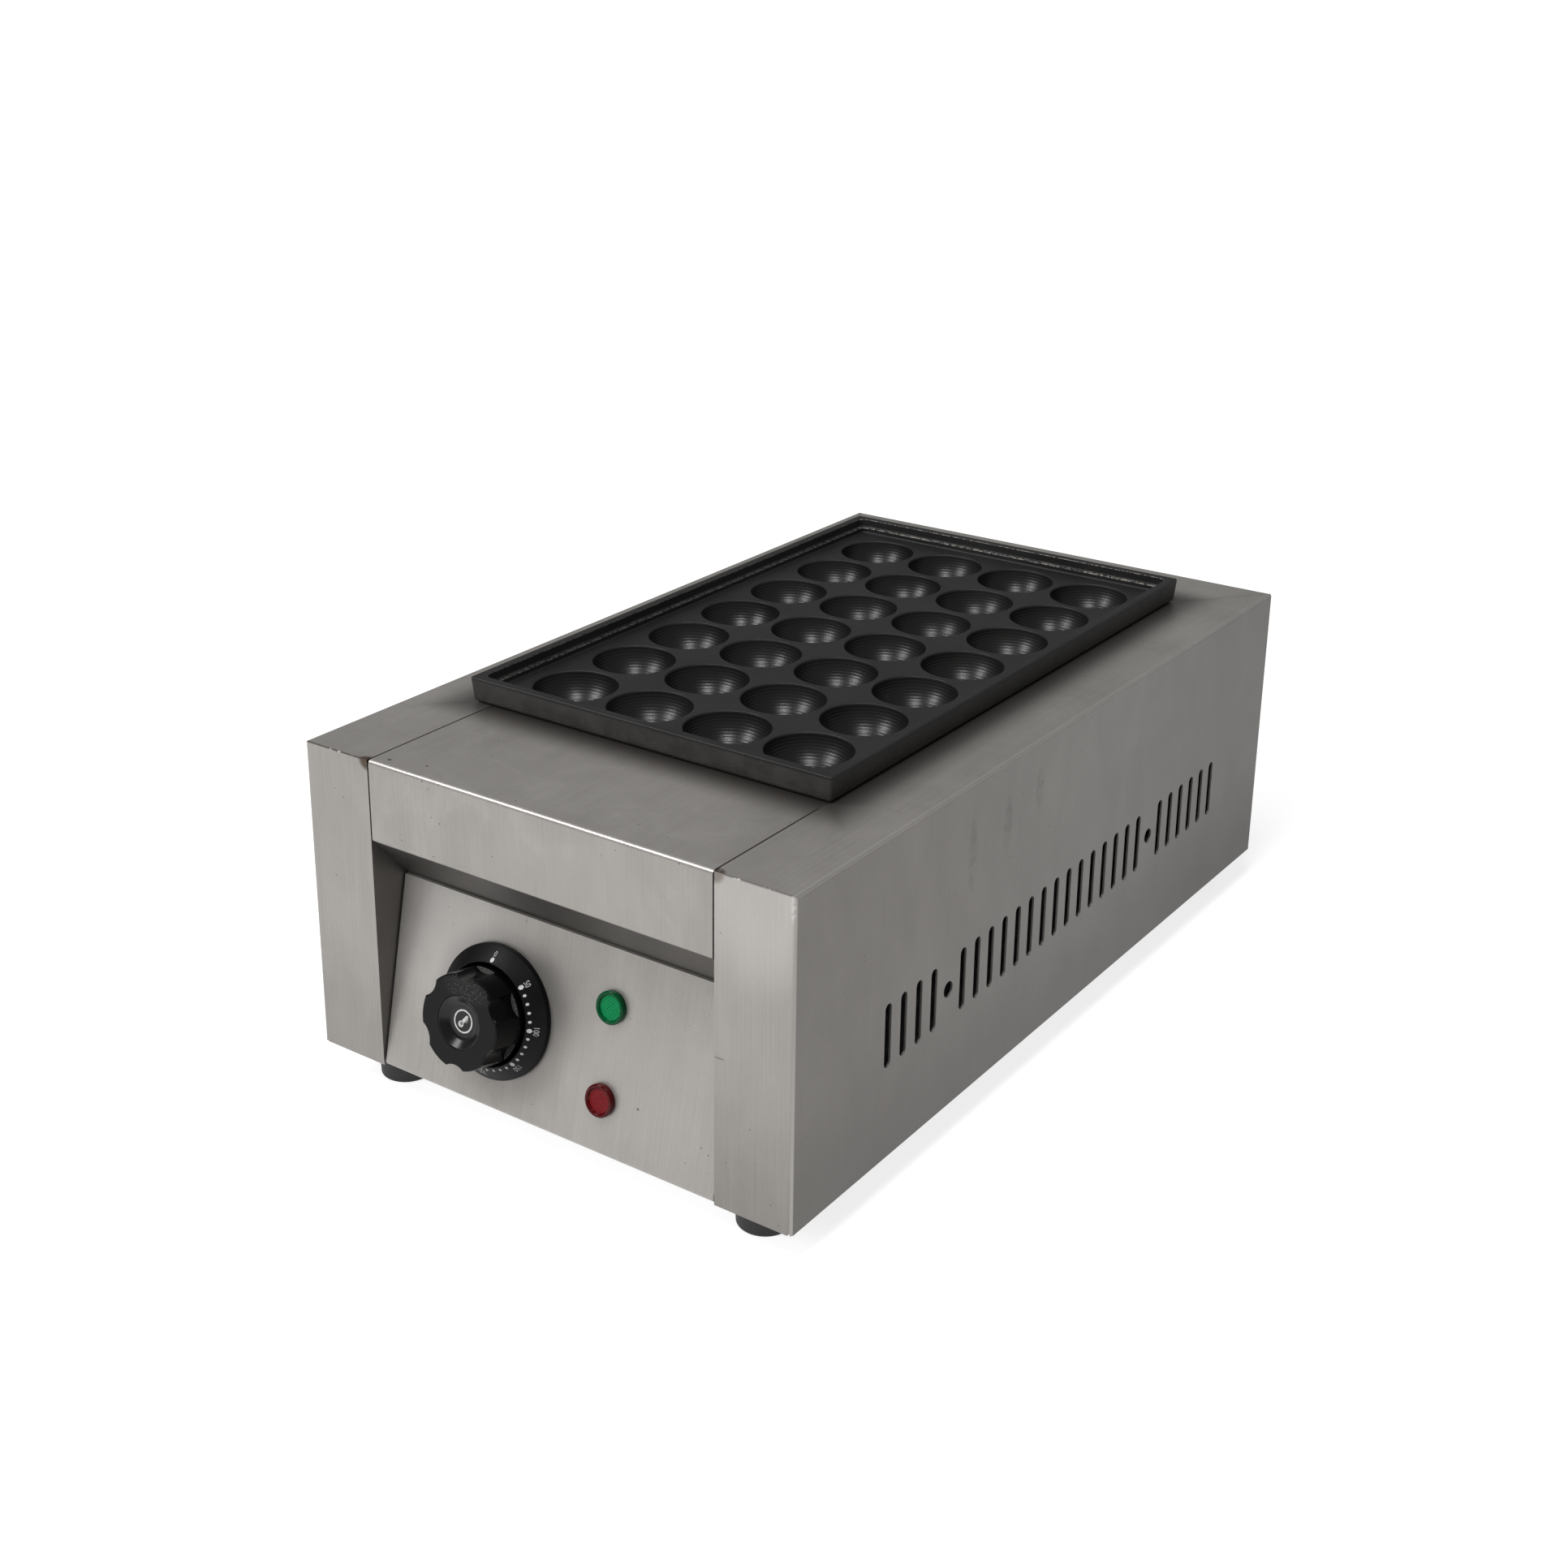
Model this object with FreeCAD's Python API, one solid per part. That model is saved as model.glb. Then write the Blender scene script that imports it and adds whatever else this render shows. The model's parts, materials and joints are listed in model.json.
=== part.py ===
import FreeCAD, Part
import math
import os

# Countertop griddle for batter balls: a removable plate of half-round cups on a
# folded sheet housing with two heating tubes, a thermostat and two lamps.
# Modelled with x across, y from the front face to the back and z up from the
# bottom edge of the sheet housing. Millimetres throughout.

V = FreeCAD.Vector
X_AXIS = V(1, 0, 0)
Y_AXIS = V(0, 1, 0)
Z_AXIS = V(0, 0, 1)

# cups of the plate
cup_columns = 4
cup_rows = 7
cup_mouth_radius = 20.0
cup_land = 3.5
cup_depth = 17.0
cup_wall = 2.8

# plate around the cups
plate_border = 14.25
plate_floor = 5.2
plate_rim_height = 12.3
plate_rim_width = 4.6
plate_ledge_width = 2.6
plate_ledge_depth = 4.2
plate_corner_radius = 1.2
plate_inner_corner_radius = 4.0
plate_draft = 0.8
plate_edge_radius = 2.4
plate_edge_steps = 6
plate_seat_gap = 0.2
plate_shift_left = 4.0
plate_shift_front = 1.0

# folded sheet housing
sheet = 1.0
bend_radius = 2.0
body_height = 150.0
cheek_width = 38.0
deck_depth = 84.5
rear_deck_depth = 47.5
cup_side_clearance = 2.336
cup_end_clearance = 7.036
seam_gap = 0.8
lip_depth = 12.0
hem_width = 15.0
end_hem_width = 9.5
return_depth = 24.0
return_top_drop = 15.0
return_bottom = 2.4

# front: fascia, recess and sloping control panel
fascia_height = 38.0
recess_depth = 19.0
recess_fall = 22.5
cover_tuck = 10.0
tuck_gap = 0.2
panel_top_gap = 0.5

# vents in each side
vent_count = 27
vent_round_positions = (4, 20)
vent_pitch = 12.2
vent_shift = 3.0
vent_height = 30.0
vent_width = 5.0
vent_centre_height = 58.8
vent_round_radius = 3.75

# tray below the cups
tray_sheet = 0.8
tray_clearance = 1.0
tray_flange = 9.0

# heating tubes
tube_radius = 4.0
tube_drop = 7.4
tube_end = 52.0
tube_back_gap = 14.0
fitting_wall = 2.0
fitting_flange_width = 2.0
fitting_flange = 2.5
fitting_thread = 9.0
fitting_nut_wall = 2.5
fitting_nut = 4.0
fitting_braze_gap = 0.05
pin_radius = 1.6
pin_length = 14.0
insulator_wall = 1.4
insulator_length = 6.0
rest_width = 14.0
rest_overhang = 22.75
rest_height = 20.2
rest_inset = 62.0
rest_gap = 0.15

# temperature sensor
bulb_radius = 3.0
bulb_length = 96.0
bulb_lift = 6.0
clip_wall = 3.0
clip_height_margin = 2.0
clip_thickness = 8.0
capillary_radius = 1.0
capillary_bend = 9.0
capillary_hole_gap = 1.5

# thermostat behind the panel
control_x = -31.0
control_drop = 0.65
thermostat_width = 44.0
thermostat_height = 36.0
thermostat_depth = 26.0
bushing_wall = 2.0
bushing_length = 3.5
shaft_radius = 3.0
shaft_running_gap = 0.05
shaft_back = 18.0
shaft_front = 18.5
shaft_flat_depth = 1.2
shaft_flat_length = 12.0
screw_spacing = 28.0
thermostat_screw_radius = 2.0
thermostat_screw_length = 7.0
screw_head_width = 1.6
screw_head_height = 2.0
screw_hole_gap = 0.2

# dial ring
dial_band = 7.5
dial_wall = 2.8
dial_height = 7.2
dial_shoulder = 4.0
dial_bore_gap = 0.7
dial_floor = 1.5

# knob
knob_base_radius = 22.0
knob_front_radius = 21.2
knob_clearance = 1.0
knob_front = 24.8
knob_wall = 2.5
knob_hub_wall = 3.0
knob_hub_gap = 0.03
knob_face = 6.5
flute_count = 6
flute_radius = 8.5
flute_depth = 2.0
flute_start = 11.0
dish_radius = 11.9
dish_depth = 2.0
cap_thickness = 1.6
cap_gap = 0.1
knob_edge_radius = 0.8

# indicator lamps
lamp_x = 30.4
lamp_rise = 20.6
lens_lip = 1.5
lens_height = 2.8
lens_edge_radius = 1.1
lamp_body_radius = 5.8
lamp_hole_gap = 0.2
lamp_body_length = 21.0
lamp_nut_wall = 2.2
lamp_nut_height = 3.0
blade_width = 2.8
blade_thickness = 0.8
blade_length = 8.0
blade_spacing = 5.0

# cable entry at the back
gland_x = 115.0
gland_height = 18.0
cable_radius = 4.25
gland_wall = 3.35
gland_hex_wall = 2.4
gland_flange = 5.0
gland_thread = 12.0
gland_cap_length = 15.0
gland_cap_hex = 7.0
gland_nose_wall = 2.35
gland_nut_height = 4.0
gland_hole_gap = 0.2

# bonding terminal at the back
bond_x = 121.5
bond_height = 107.0
bond_radius = 2.5
bond_hole_gap = 0.15
bond_length = 11.0
bond_head_wall = 1.5
bond_head_height = 3.5
bond_washer_width = 3.5
bond_washer_height = 1.0
bond_nut_height = 4.0

# feet and base plate fixings
foot_clearance = 17.0
foot_bottom_radius = 12.2
foot_top_radius = 13.0
foot_edge_radius = 1.5
foot_hem_gap = 1.0
foot_screw_radius = 2.5
foot_recess_gap = 1.4
foot_recess_depth = 6.0
foot_head_width = 2.1
foot_head_height = 3.0
foot_nut_wall = 1.5
foot_nut_height = 4.0
foot_screw_reach = 1.5
base_edge_gap = 0.3
hem_screw_radius = 2.0
hem_screw_length = 6.0
hem_screw_head_width = 1.8
hem_screw_head_height = 1.8
hem_screw_rows = 3

# supply terminal block on the base plate
block_length = 42.0
block_width = 20.0
block_height = 17.0
block_x = 48.0
block_y = 60.0
block_poles = 3
block_well_radius = 3.4
block_well_depth = 5.0
block_wire_radius = 2.4
block_screw_radius = 2.6
block_screw_height = 2.5

# derived sizes shared by the pieces
cup_pitch = 2 * cup_mouth_radius + cup_land
plate_margin = cup_mouth_radius + plate_border
cup_sphere = (cup_mouth_radius ** 2 + cup_depth ** 2) / (2 * cup_depth)
cup_outer = cup_sphere + cup_wall
deck_z = body_height
plate_bottom = deck_z + plate_seat_gap
flat_z = plate_bottom + plate_floor
rim_z = plate_bottom + plate_rim_height
cup_centre_z = flat_z + cup_sphere - cup_depth
cup_lowest_z = cup_centre_z - cup_outer
cup_radius_at_deck = math.sqrt(cup_outer ** 2 - (cup_centre_z - deck_z) ** 2)
field_half_width = (cup_columns - 1) * cup_pitch / 2
field_half_length = (cup_rows - 1) * cup_pitch / 2
opening_half = plate_shift_left + field_half_width + cup_radius_at_deck + cup_side_clearance
opening_length = 2 * (field_half_length + cup_radius_at_deck + cup_end_clearance)
body_half = opening_half + cheek_width
opening_front = deck_depth
opening_back = deck_depth + opening_length
body_depth = opening_back + rear_deck_depth
plate_x = -plate_shift_left
plate_y = (opening_front + opening_back) / 2 - plate_shift_front
plate_half_width = field_half_width + plate_margin
plate_half_length = field_half_length + plate_margin
column_x = [plate_x + (i - (cup_columns - 1) / 2) * cup_pitch for i in range(cup_columns)]
row_y = [plate_y + (i - (cup_rows - 1) / 2) * cup_pitch for i in range(cup_rows)]
insert_half = opening_half - seam_gap
fascia_bottom = body_height - fascia_height
panel_top_z = fascia_bottom - recess_fall
panel_tilt = math.atan2(recess_depth, panel_top_z)
panel_length = math.hypot(recess_depth, panel_top_z)
tray_half = opening_half + sheet + tray_clearance
tray_front = opening_front - sheet - tray_clearance
tray_back = opening_back + sheet + tray_clearance
tray_top = body_height - sheet
tube_z = cup_lowest_z - tube_drop
rest_top = tube_z - tube_radius - rest_gap
tray_floor_z = rest_top - rest_height - tray_sheet
bulb_z = tube_z + bulb_lift
base_top = 2 * sheet
wall_inside = body_half - sheet
foot_inset_x = hem_width + foot_top_radius + foot_hem_gap
foot_inset_y = end_hem_width + foot_top_radius + foot_hem_gap
foot_x = body_half - foot_inset_x
foot_positions = [(sx * foot_x, y) for sx in (-1, 1)
                  for y in (foot_inset_y, body_depth - foot_inset_y)]
vent_first = body_depth / 2 + vent_shift - (vent_count - 1) / 2 * vent_pitch
rest_half_length = field_half_width + rest_overhang
fitting_thread_radius = tube_radius + fitting_wall
fitting_radius = fitting_thread_radius + fitting_flange_width
fitting_nut_width = 2 * (fitting_thread_radius + fitting_nut_wall)
insulator_radius = pin_radius + insulator_wall
clip_width = 2 * (bulb_radius + clip_wall)
control_s = panel_length / 2 - control_drop
bushing_radius = shaft_radius + bushing_wall
screw_head_radius = thermostat_screw_radius + screw_head_width
dial_bore = knob_base_radius + dial_bore_gap
dial_radius = dial_bore + dial_band
knob_hub_radius = shaft_radius + knob_hub_wall
lens_radius = lamp_body_radius + lens_lip
lamp_nut_width = 2 * (lamp_body_radius + lamp_nut_wall)
gland_thread_radius = cable_radius + gland_wall
gland_hex_width = 2 * (gland_thread_radius + gland_hex_wall)
gland_nose_radius = cable_radius + gland_nose_wall
bond_head_width = 2 * (bond_radius + bond_head_wall)
bond_washer_radius = bond_radius + bond_washer_width
foot_head_radius = foot_screw_radius + foot_head_width
foot_recess_radius = foot_head_radius + foot_recess_gap
foot_nut_width = 2 * (foot_screw_radius + foot_nut_wall)
hem_screw_head_radius = hem_screw_radius + hem_screw_head_width


def box(x0, y0, z0, x1, y1, z1):
    return Part.makeBox(x1 - x0, y1 - y0, z1 - z0, V(x0, y0, z0))


def cylinder(radius, z0, z1, x=0.0, y=0.0):
    return Part.makeCylinder(radius, z1 - z0, V(x, y, z0))


def hexagon(width, z0, z1):
    across_corners = width / math.sqrt(3)
    corners = [V(across_corners * math.cos(math.radians(60 * i)),
                 across_corners * math.sin(math.radians(60 * i)), z0) for i in range(6)]
    return Part.Face(Part.makePolygon(corners + corners[:1])).extrude(V(0, 0, z1 - z0))


def joined(shapes):
    first, rest = shapes[0], shapes[1:]
    return first.fuse(rest).removeSplitter() if rest else first


def mirrored(shape):
    return shape.mirror(V(0, 0, 0), X_AXIS)


def edges_at(shape, direction, **coordinates):
    """Straight edges along a direction whose ends lie at the given coordinates."""
    found = []
    for edge in shape.Edges:
        if not isinstance(edge.Curve, Part.Line):
            continue
        start, end = edge.Vertexes[0].Point, edge.Vertexes[-1].Point
        along = (end - start).normalize()
        if abs(abs(along.dot(direction)) - 1) > 1e-6:
            continue
        middle = (start + end) * 0.5
        if all(abs(getattr(middle, axis) - value) < 1e-4 for axis, value in coordinates.items()):
            found.append(edge)
    return found


def bent_path(points, radius):
    """Edges through the points, each corner rounded with a tangent arc."""
    edges = []
    start = points[0]
    for before, corner, after in zip(points, points[1:], points[2:]):
        into = (corner - before).normalize()
        out = (after - corner).normalize()
        half_turn = into.getAngle(out) / 2
        cut = radius * math.tan(half_turn)
        arc_start = corner - into * cut
        arc_end = corner + out * cut
        towards_centre = (out - into).normalize()
        arc_middle = corner + towards_centre * (radius / math.cos(half_turn) - radius)
        edges.append(Part.LineSegment(start, arc_start).toShape())
        edges.append(Part.Arc(arc_start, arc_middle, arc_end).toShape())
        start = arc_end
    edges.append(Part.LineSegment(start, points[-1]).toShape())
    return edges


def folded_strip(outline, thickness, x0, x1):
    """Sheet folded along x: outline holds (y, z) points of its outer face in order,
    with the material on the left of the direction of travel."""
    shifted = []
    for index, (y, z) in enumerate(outline):
        normals = []
        for a, b in ((index - 1, index), (index, index + 1)):
            if a < 0 or b >= len(outline):
                continue
            dy, dz = outline[b][0] - outline[a][0], outline[b][1] - outline[a][1]
            size = math.hypot(dy, dz)
            normals.append((-dz / size, dy / size))
        ny = sum(n[0] for n in normals) / len(normals)
        nz = sum(n[1] for n in normals) / len(normals)
        scale = thickness / (ny ** 2 + nz ** 2)
        shifted.append((y + ny * scale, z + nz * scale))
    loop = [V(x0, y, z) for y, z in outline + shifted[::-1]]
    strip = Part.Face(Part.makePolygon(loop + loop[:1])).extrude(V(x1 - x0, 0, 0))
    for (y, z), (ys, zs), (ya, za), (yb, zb) in zip(
            outline[1:-1], shifted[1:-1], outline[:-2], outline[2:]):
        turn = (y - ya) * (zb - z) - (z - za) * (yb - y)
        near, far = bend_radius, bend_radius - thickness
        if turn < 0:
            near, far = far, near
        strip = strip.makeFillet(near, edges_at(strip, X_AXIS, y=y, z=z))
        strip = strip.makeFillet(far, edges_at(strip, X_AXIS, y=ys, z=zs))
    return strip


def tube(points, radius, bend):
    path = Part.Wire(bent_path(points, bend))
    start = points[0]
    ring = Part.Wire(Part.Circle(start, points[1] - start, radius).toShape())
    return path.makePipeShell([ring], True, True)


def on_panel(shape, x, s):
    """Moves a piece modelled about z, with z = 0 on the outer face of the panel."""
    placed = shape.copy()
    placed.rotate(V(0, 0, 0), X_AXIS, 90 - math.degrees(panel_tilt))
    placed.translate(V(x, s * math.sin(panel_tilt), s * math.cos(panel_tilt)))
    return placed


def on_back(shape, x, z):
    """Moves a piece modelled about z, with z = 0 on the outer face of the back."""
    placed = shape.copy()
    placed.rotate(V(0, 0, 0), X_AXIS, -90)
    placed.translate(V(x, body_depth, z))
    return placed


def rounded_block(x, y, half_width, half_length, levels, radius):
    """Block with rounded upright corners through the (height, inset) levels."""
    def outline(z, inset):
        block = box(x - half_width + inset, y - half_length + inset, z,
                    x + half_width - inset, y + half_length - inset, z + 1)
        upright = [e for e in block.Edges if abs(e.tangentAt(e.FirstParameter).z) > 0.5]
        block = block.makeFillet(radius, upright)
        return min(block.Faces, key=lambda f: f.CenterOfMass.z).OuterWire
    return Part.makeLoft([outline(z, inset) for z, inset in levels], True, True)


def cup_spheres(radius):
    return [Part.makeSphere(radius, V(x, y, cup_centre_z)) for x in column_x for y in row_y]


def plate_levels():
    """Heights and insets of the plate's side, round its lower edge and up its draft."""
    turns = [math.radians(90.0 * i / plate_edge_steps) for i in range(plate_edge_steps + 1)]
    edge = [(plate_bottom + plate_edge_radius * (1 - math.cos(turn)),
             plate_draft + plate_edge_radius * (1 - math.sin(turn))) for turn in turns]
    return edge + [(rim_z, 0.0)]


def takoyaki_plate():
    """Rim, ledge and web of the casting, open where the cups are."""
    plate = rounded_block(plate_x, plate_y, plate_half_width, plate_half_length,
                          plate_levels(), plate_corner_radius)
    ledge_z = rim_z - plate_ledge_depth
    ledge_inset = plate_rim_width
    flat_inset = plate_rim_width + plate_ledge_width
    for inset, z in ((ledge_inset, ledge_z), (flat_inset, flat_z)):
        plate = plate.cut(rounded_block(plate_x, plate_y, plate_half_width - inset,
                                        plate_half_length - inset,
                                        [(z, 0.0), (rim_z + 1, 0.0)],
                                        plate_inner_corner_radius))
    return plate.cut(cup_spheres(cup_sphere))


def plate_cups():
    """Bowls of the casting, from the underside of its web downwards."""
    below = box(plate_x - plate_half_width, plate_y - plate_half_length,
                cup_lowest_z - 1, plate_x + plate_half_width,
                plate_y + plate_half_length, plate_bottom)
    return [outer.common(below).cut(inner)
            for outer, inner in zip(cup_spheres(cup_outer), cup_spheres(cup_sphere))]


def vent_cutters(x0, x1):
    cutters = []
    half_straight = (vent_height - vent_width) / 2
    for index in range(vent_count):
        y = vent_first + index * vent_pitch
        if index in vent_round_positions:
            cutters.append(Part.makeCylinder(vent_round_radius, x1 - x0,
                                             V(x0, y, vent_centre_height), X_AXIS))
            continue
        slot = box(x0, y - vent_width / 2, vent_centre_height - half_straight,
                   x1, y + vent_width / 2, vent_centre_height + half_straight)
        ends = [Part.makeCylinder(vent_width / 2, x1 - x0, V(x0, y, z), X_AXIS)
                for z in (vent_centre_height - half_straight, vent_centre_height + half_straight)]
        cutters.append(joined([slot] + ends))
    return cutters


def mitre_wedge(gap):
    """Prism over the deck behind the line from the opening's corner to the body's."""
    z0, z1 = body_height - lip_depth - 1, body_height + 1
    corners = [V(opening_half - sheet - 1, opening_back - gap, z0),
               V(opening_half, opening_back - gap, z0),
               V(wall_inside, body_depth - sheet * rear_deck_depth / cheek_width - gap, z0),
               V(wall_inside, body_depth + 1, z0),
               V(opening_half - sheet - 1, body_depth + 1, z0)]
    return Part.Face(Part.makePolygon(corners + corners[:1])).extrude(V(0, 0, z1 - z0))


def side_panel():
    """Right-hand side: outer wall, deck flange, front flange with its return, hem."""
    outside = box(opening_half, 0, 0, body_half, body_depth, body_height)
    outer_bends = (edges_at(outside, Z_AXIS, x=body_half, y=0)
                   + edges_at(outside, Y_AXIS, x=body_half, z=body_height))
    outside = outside.makeFillet(bend_radius, outer_bends)
    inside = box(opening_half + sheet, sheet, sheet,
                 wall_inside, body_depth + 1, body_height - sheet)
    inner_bends = (edges_at(inside, Z_AXIS, x=wall_inside, y=sheet)
                   + edges_at(inside, Y_AXIS, x=wall_inside, z=body_height - sheet))
    inside = inside.makeFillet(bend_radius - sheet, inner_bends)
    panel = outside.cut(inside)
    x_in, x_out = opening_half - 1, opening_half + sheet
    below_lip = box(x_in, return_depth, -1, x_out, body_depth + 1, body_height - lip_depth)
    beside_deck = box(x_in, sheet, body_height - return_top_drop,
                      x_out, opening_front - sheet, body_height - sheet)
    foot_of_return = box(x_in, sheet, -1, x_out, return_depth, return_bottom)
    hem_window = box(x_in, sheet, -1, body_half - hem_width, body_depth + 1, sheet)
    hem_relief = box(body_half - hem_width, -1, -1, wall_inside, 2 * sheet, sheet)
    panel = panel.cut([below_lip, beside_deck, foot_of_return, hem_window,
                       mitre_wedge(0.0)])
    front_bottom = box(opening_half, 0, 0, body_half - bend_radius, sheet, sheet)
    panel = panel.cut(hem_relief).fuse(front_bottom).removeSplitter()
    screw_holes = [cylinder(hem_screw_radius, -1, base_top, x, y)
                   for x, y in hem_screw_positions() if x > 0]
    return panel.cut(screw_holes + vent_cutters(wall_inside - 1, body_half + 1))


def rear_panel():
    """Back wall with a mitred deck flange, a lip, side flanges and a hem."""
    half = wall_inside - seam_gap / 2
    outside = box(-half, opening_back, 0, half, body_depth, body_height)
    outside = outside.makeFillet(bend_radius, edges_at(outside, X_AXIS, y=body_depth,
                                                       z=body_height))
    inside = box(-half + sheet, opening_back + sheet, sheet,
                 half - sheet, body_depth - sheet, body_height - sheet)
    inside = inside.makeFillet(bend_radius - sheet,
                               edges_at(inside, X_AXIS, y=body_depth - sheet,
                                        z=body_height - sheet))
    panel = outside.cut(inside)
    flange_start = body_depth - end_hem_width
    lip_end = insert_half
    below_lip = box(-half - 1, opening_back - 1, -1,
                    half + 1, flange_start, body_height - lip_depth)
    panel = panel.cut(below_lip)
    under_deck = body_height - sheet
    hem_end = body_half - hem_width - seam_gap
    for side in (-1, 1):
        x_near, x_far = sorted((side * lip_end, side * (half + 1)))
        panel = panel.cut(box(x_near, opening_back - 1, body_height - lip_depth - 1,
                              x_far, flange_start, under_deck))
        x_near, x_far = sorted((side * hem_end, side * (half + 1)))
        panel = panel.cut(box(x_near, flange_start - 1, -1, x_far, body_depth + 1, sheet))
    keep = mitre_wedge(-seam_gap / 2)
    keep = keep.fuse([mirrored(keep), box(-opening_half, opening_back,
                                          body_height - lip_depth - 1, opening_half,
                                          body_depth + 1, body_height + 1)])
    top_slab = box(-half - 1, opening_back - 1, under_deck - bend_radius,
                   half + 1, body_depth - bend_radius, body_height + 1)
    panel = panel.cut(top_slab.cut(keep))
    cable_hole = on_back(cylinder(gland_thread_radius + gland_hole_gap, -2 * sheet, sheet),
                         gland_x, gland_height)
    bond_hole = on_back(cylinder(bond_radius + bond_hole_gap, -2 * sheet, sheet),
                        bond_x, bond_height)
    return panel.cut([cable_hole, bond_hole])


def front_cover():
    """Deck strip, fascia and the recess face that runs down to the control panel."""
    slope_y, slope_z = math.sin(panel_tilt), math.cos(panel_tilt)
    tuck_y = recess_depth + (sheet + tuck_gap) * slope_z
    tuck_z = panel_top_z - (sheet + tuck_gap) * slope_y
    outline = [(tuck_y - cover_tuck * slope_y, tuck_z - cover_tuck * slope_z),
               (tuck_y, tuck_z),
               (0, fascia_bottom),
               (0, body_height),
               (opening_front, body_height),
               (opening_front, body_height - lip_depth)]
    return folded_strip(outline[::-1], sheet, -insert_half, insert_half)


def control_panel():
    """Sloping plate with a hem below, bored for the thermostat and the lamps."""
    reach = panel_length - panel_top_gap
    outline = [(end_hem_width, 0), (0, 0),
               (reach * math.sin(panel_tilt), reach * math.cos(panel_tilt))]
    panel = folded_strip(outline[::-1], sheet, -insert_half, insert_half)
    through = (-3 * sheet, sheet)
    holes = [on_panel(cylinder(bushing_radius + screw_hole_gap, *through), control_x, control_s)]
    for side in (-1, 1):
        holes.append(on_panel(cylinder(thermostat_screw_radius + screw_hole_gap, *through,
                                       x=side * screw_spacing / 2), control_x, control_s))
        holes.append(on_panel(cylinder(lamp_body_radius + lamp_hole_gap, *through),
                              lamp_x, control_s + side * lamp_rise))
    return panel.cut(holes)


def hem_screw_positions():
    x = body_half - hem_width / 2
    first, last = 3 * foot_inset_y, body_depth - 3 * foot_inset_y
    step = (last - first) / (hem_screw_rows - 1)
    return [(side * x, first + i * step) for side in (-1, 1) for i in range(hem_screw_rows)]


def base_plate():
    """Flat floor of the housing, lying on the hems."""
    half = wall_inside - base_edge_gap
    plate = box(-half, sheet + bend_radius + base_edge_gap, sheet,
                half, body_depth - sheet - base_edge_gap, base_top)
    half_back = wall_inside - seam_gap / 2 - sheet - base_edge_gap
    for side in (-1, 1):
        x0, x1 = sorted((side * half_back, side * (half + 1)))
        plate = plate.cut(box(x0, body_depth - end_hem_width - base_edge_gap, 0,
                              x1, body_depth, 2 * base_top))
    holes = [cylinder(foot_screw_radius + screw_hole_gap, 0, 2 * base_top, x, y)
             for x, y in foot_positions]
    holes += [cylinder(hem_screw_radius, 0, 2 * base_top, x, y)
              for x, y in hem_screw_positions()]
    return plate.cut(holes)


def rubber_feet():
    feet = []
    for x, y in foot_positions:
        foot = Part.makeCone(foot_bottom_radius, foot_top_radius, foot_clearance + sheet)
        bottom = [e for e in foot.Edges if isinstance(e.Curve, Part.Circle)
                  and abs(e.Curve.Center.z) < 1e-4]
        foot = foot.makeFillet(foot_edge_radius, bottom)
        bore = cylinder(foot_screw_radius + screw_hole_gap, -1, foot_clearance + 2 * sheet)
        recess = cylinder(foot_recess_radius, -1, foot_recess_depth)
        foot = foot.cut([bore, recess])
        foot.translate(V(x, y, -foot_clearance))
        feet.append(foot)
    return feet


def foot_screws():
    head_z = foot_recess_depth - foot_clearance
    screws = []
    for x, y in foot_positions:
        head = cylinder(foot_head_radius, head_z - foot_head_height, head_z, x, y)
        shank = cylinder(foot_screw_radius, head_z,
                         base_top + foot_nut_height + foot_screw_reach, x, y)
        screws.append(joined([head, shank]))
    return screws


def foot_nuts():
    nuts = []
    for x, y in foot_positions:
        nut = hexagon(foot_nut_width, base_top, base_top + foot_nut_height)
        nut = nut.cut(cylinder(foot_screw_radius, 0, 2 * base_top + foot_nut_height))
        nut.translate(V(x, y, 0))
        nuts.append(nut)
    return nuts


def hem_screws():
    screws = []
    for x, y in hem_screw_positions():
        head = cylinder(hem_screw_head_radius, -hem_screw_head_height, 0, x, y)
        shank = cylinder(hem_screw_radius, 0, hem_screw_length, x, y)
        screws.append(joined([head, shank]))
    return screws


def heater_tray():
    """Open tray that hangs under the deck around the cups and the tubes."""
    outer = box(-tray_half - tray_sheet, tray_front - tray_sheet, tray_floor_z,
                tray_half + tray_sheet, tray_back + tray_sheet, tray_top)
    flange = box(-tray_half - tray_flange, tray_front - tray_flange, tray_top - tray_sheet,
                 tray_half + tray_flange, tray_back + tray_flange, tray_top)
    inner = box(-tray_half, tray_front, tray_floor_z + tray_sheet,
                tray_half, tray_back, tray_top + 1)
    tray = joined([outer, flange]).cut(inner)
    holes = [Part.makeCylinder(fitting_thread_radius + screw_hole_gap, 4 * tray_sheet,
                               V(x, tray_front - 2 * tray_sheet, tube_z), Y_AXIS)
             for x in column_x]
    holes.append(Part.makeCylinder(capillary_radius + capillary_hole_gap, 4 * tray_sheet,
                                   V(plate_x, tray_front - 2 * tray_sheet, bulb_z), Y_AXIS))
    return tray.cut(holes)


def heating_tube(first, second):
    """Hairpin tube under two neighbouring columns of cups."""
    x0, x1 = column_x[first], column_x[second]
    bend = (x1 - x0) / 2
    y_bend = opening_back - tube_back_gap - tube_radius - bend
    ring = Part.Face(Part.Wire(Part.Circle(V(x0, y_bend, tube_z), Y_AXIS, tube_radius).toShape()))
    turn = ring.revolve(V((x0 + x1) / 2, y_bend, tube_z), Z_AXIS, -180)
    legs = [Part.makeCylinder(tube_radius, y_bend - tube_end, V(x, tube_end, tube_z), Y_AXIS)
            for x in (x0, x1)]
    return joined([turn] + legs)


def facing_front(shape, x, y, z):
    """Moves a piece modelled about z so that its z points to the front."""
    placed = shape.copy()
    placed.rotate(V(0, 0, 0), X_AXIS, 90)
    placed.translate(V(x, y, z))
    return placed


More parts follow.
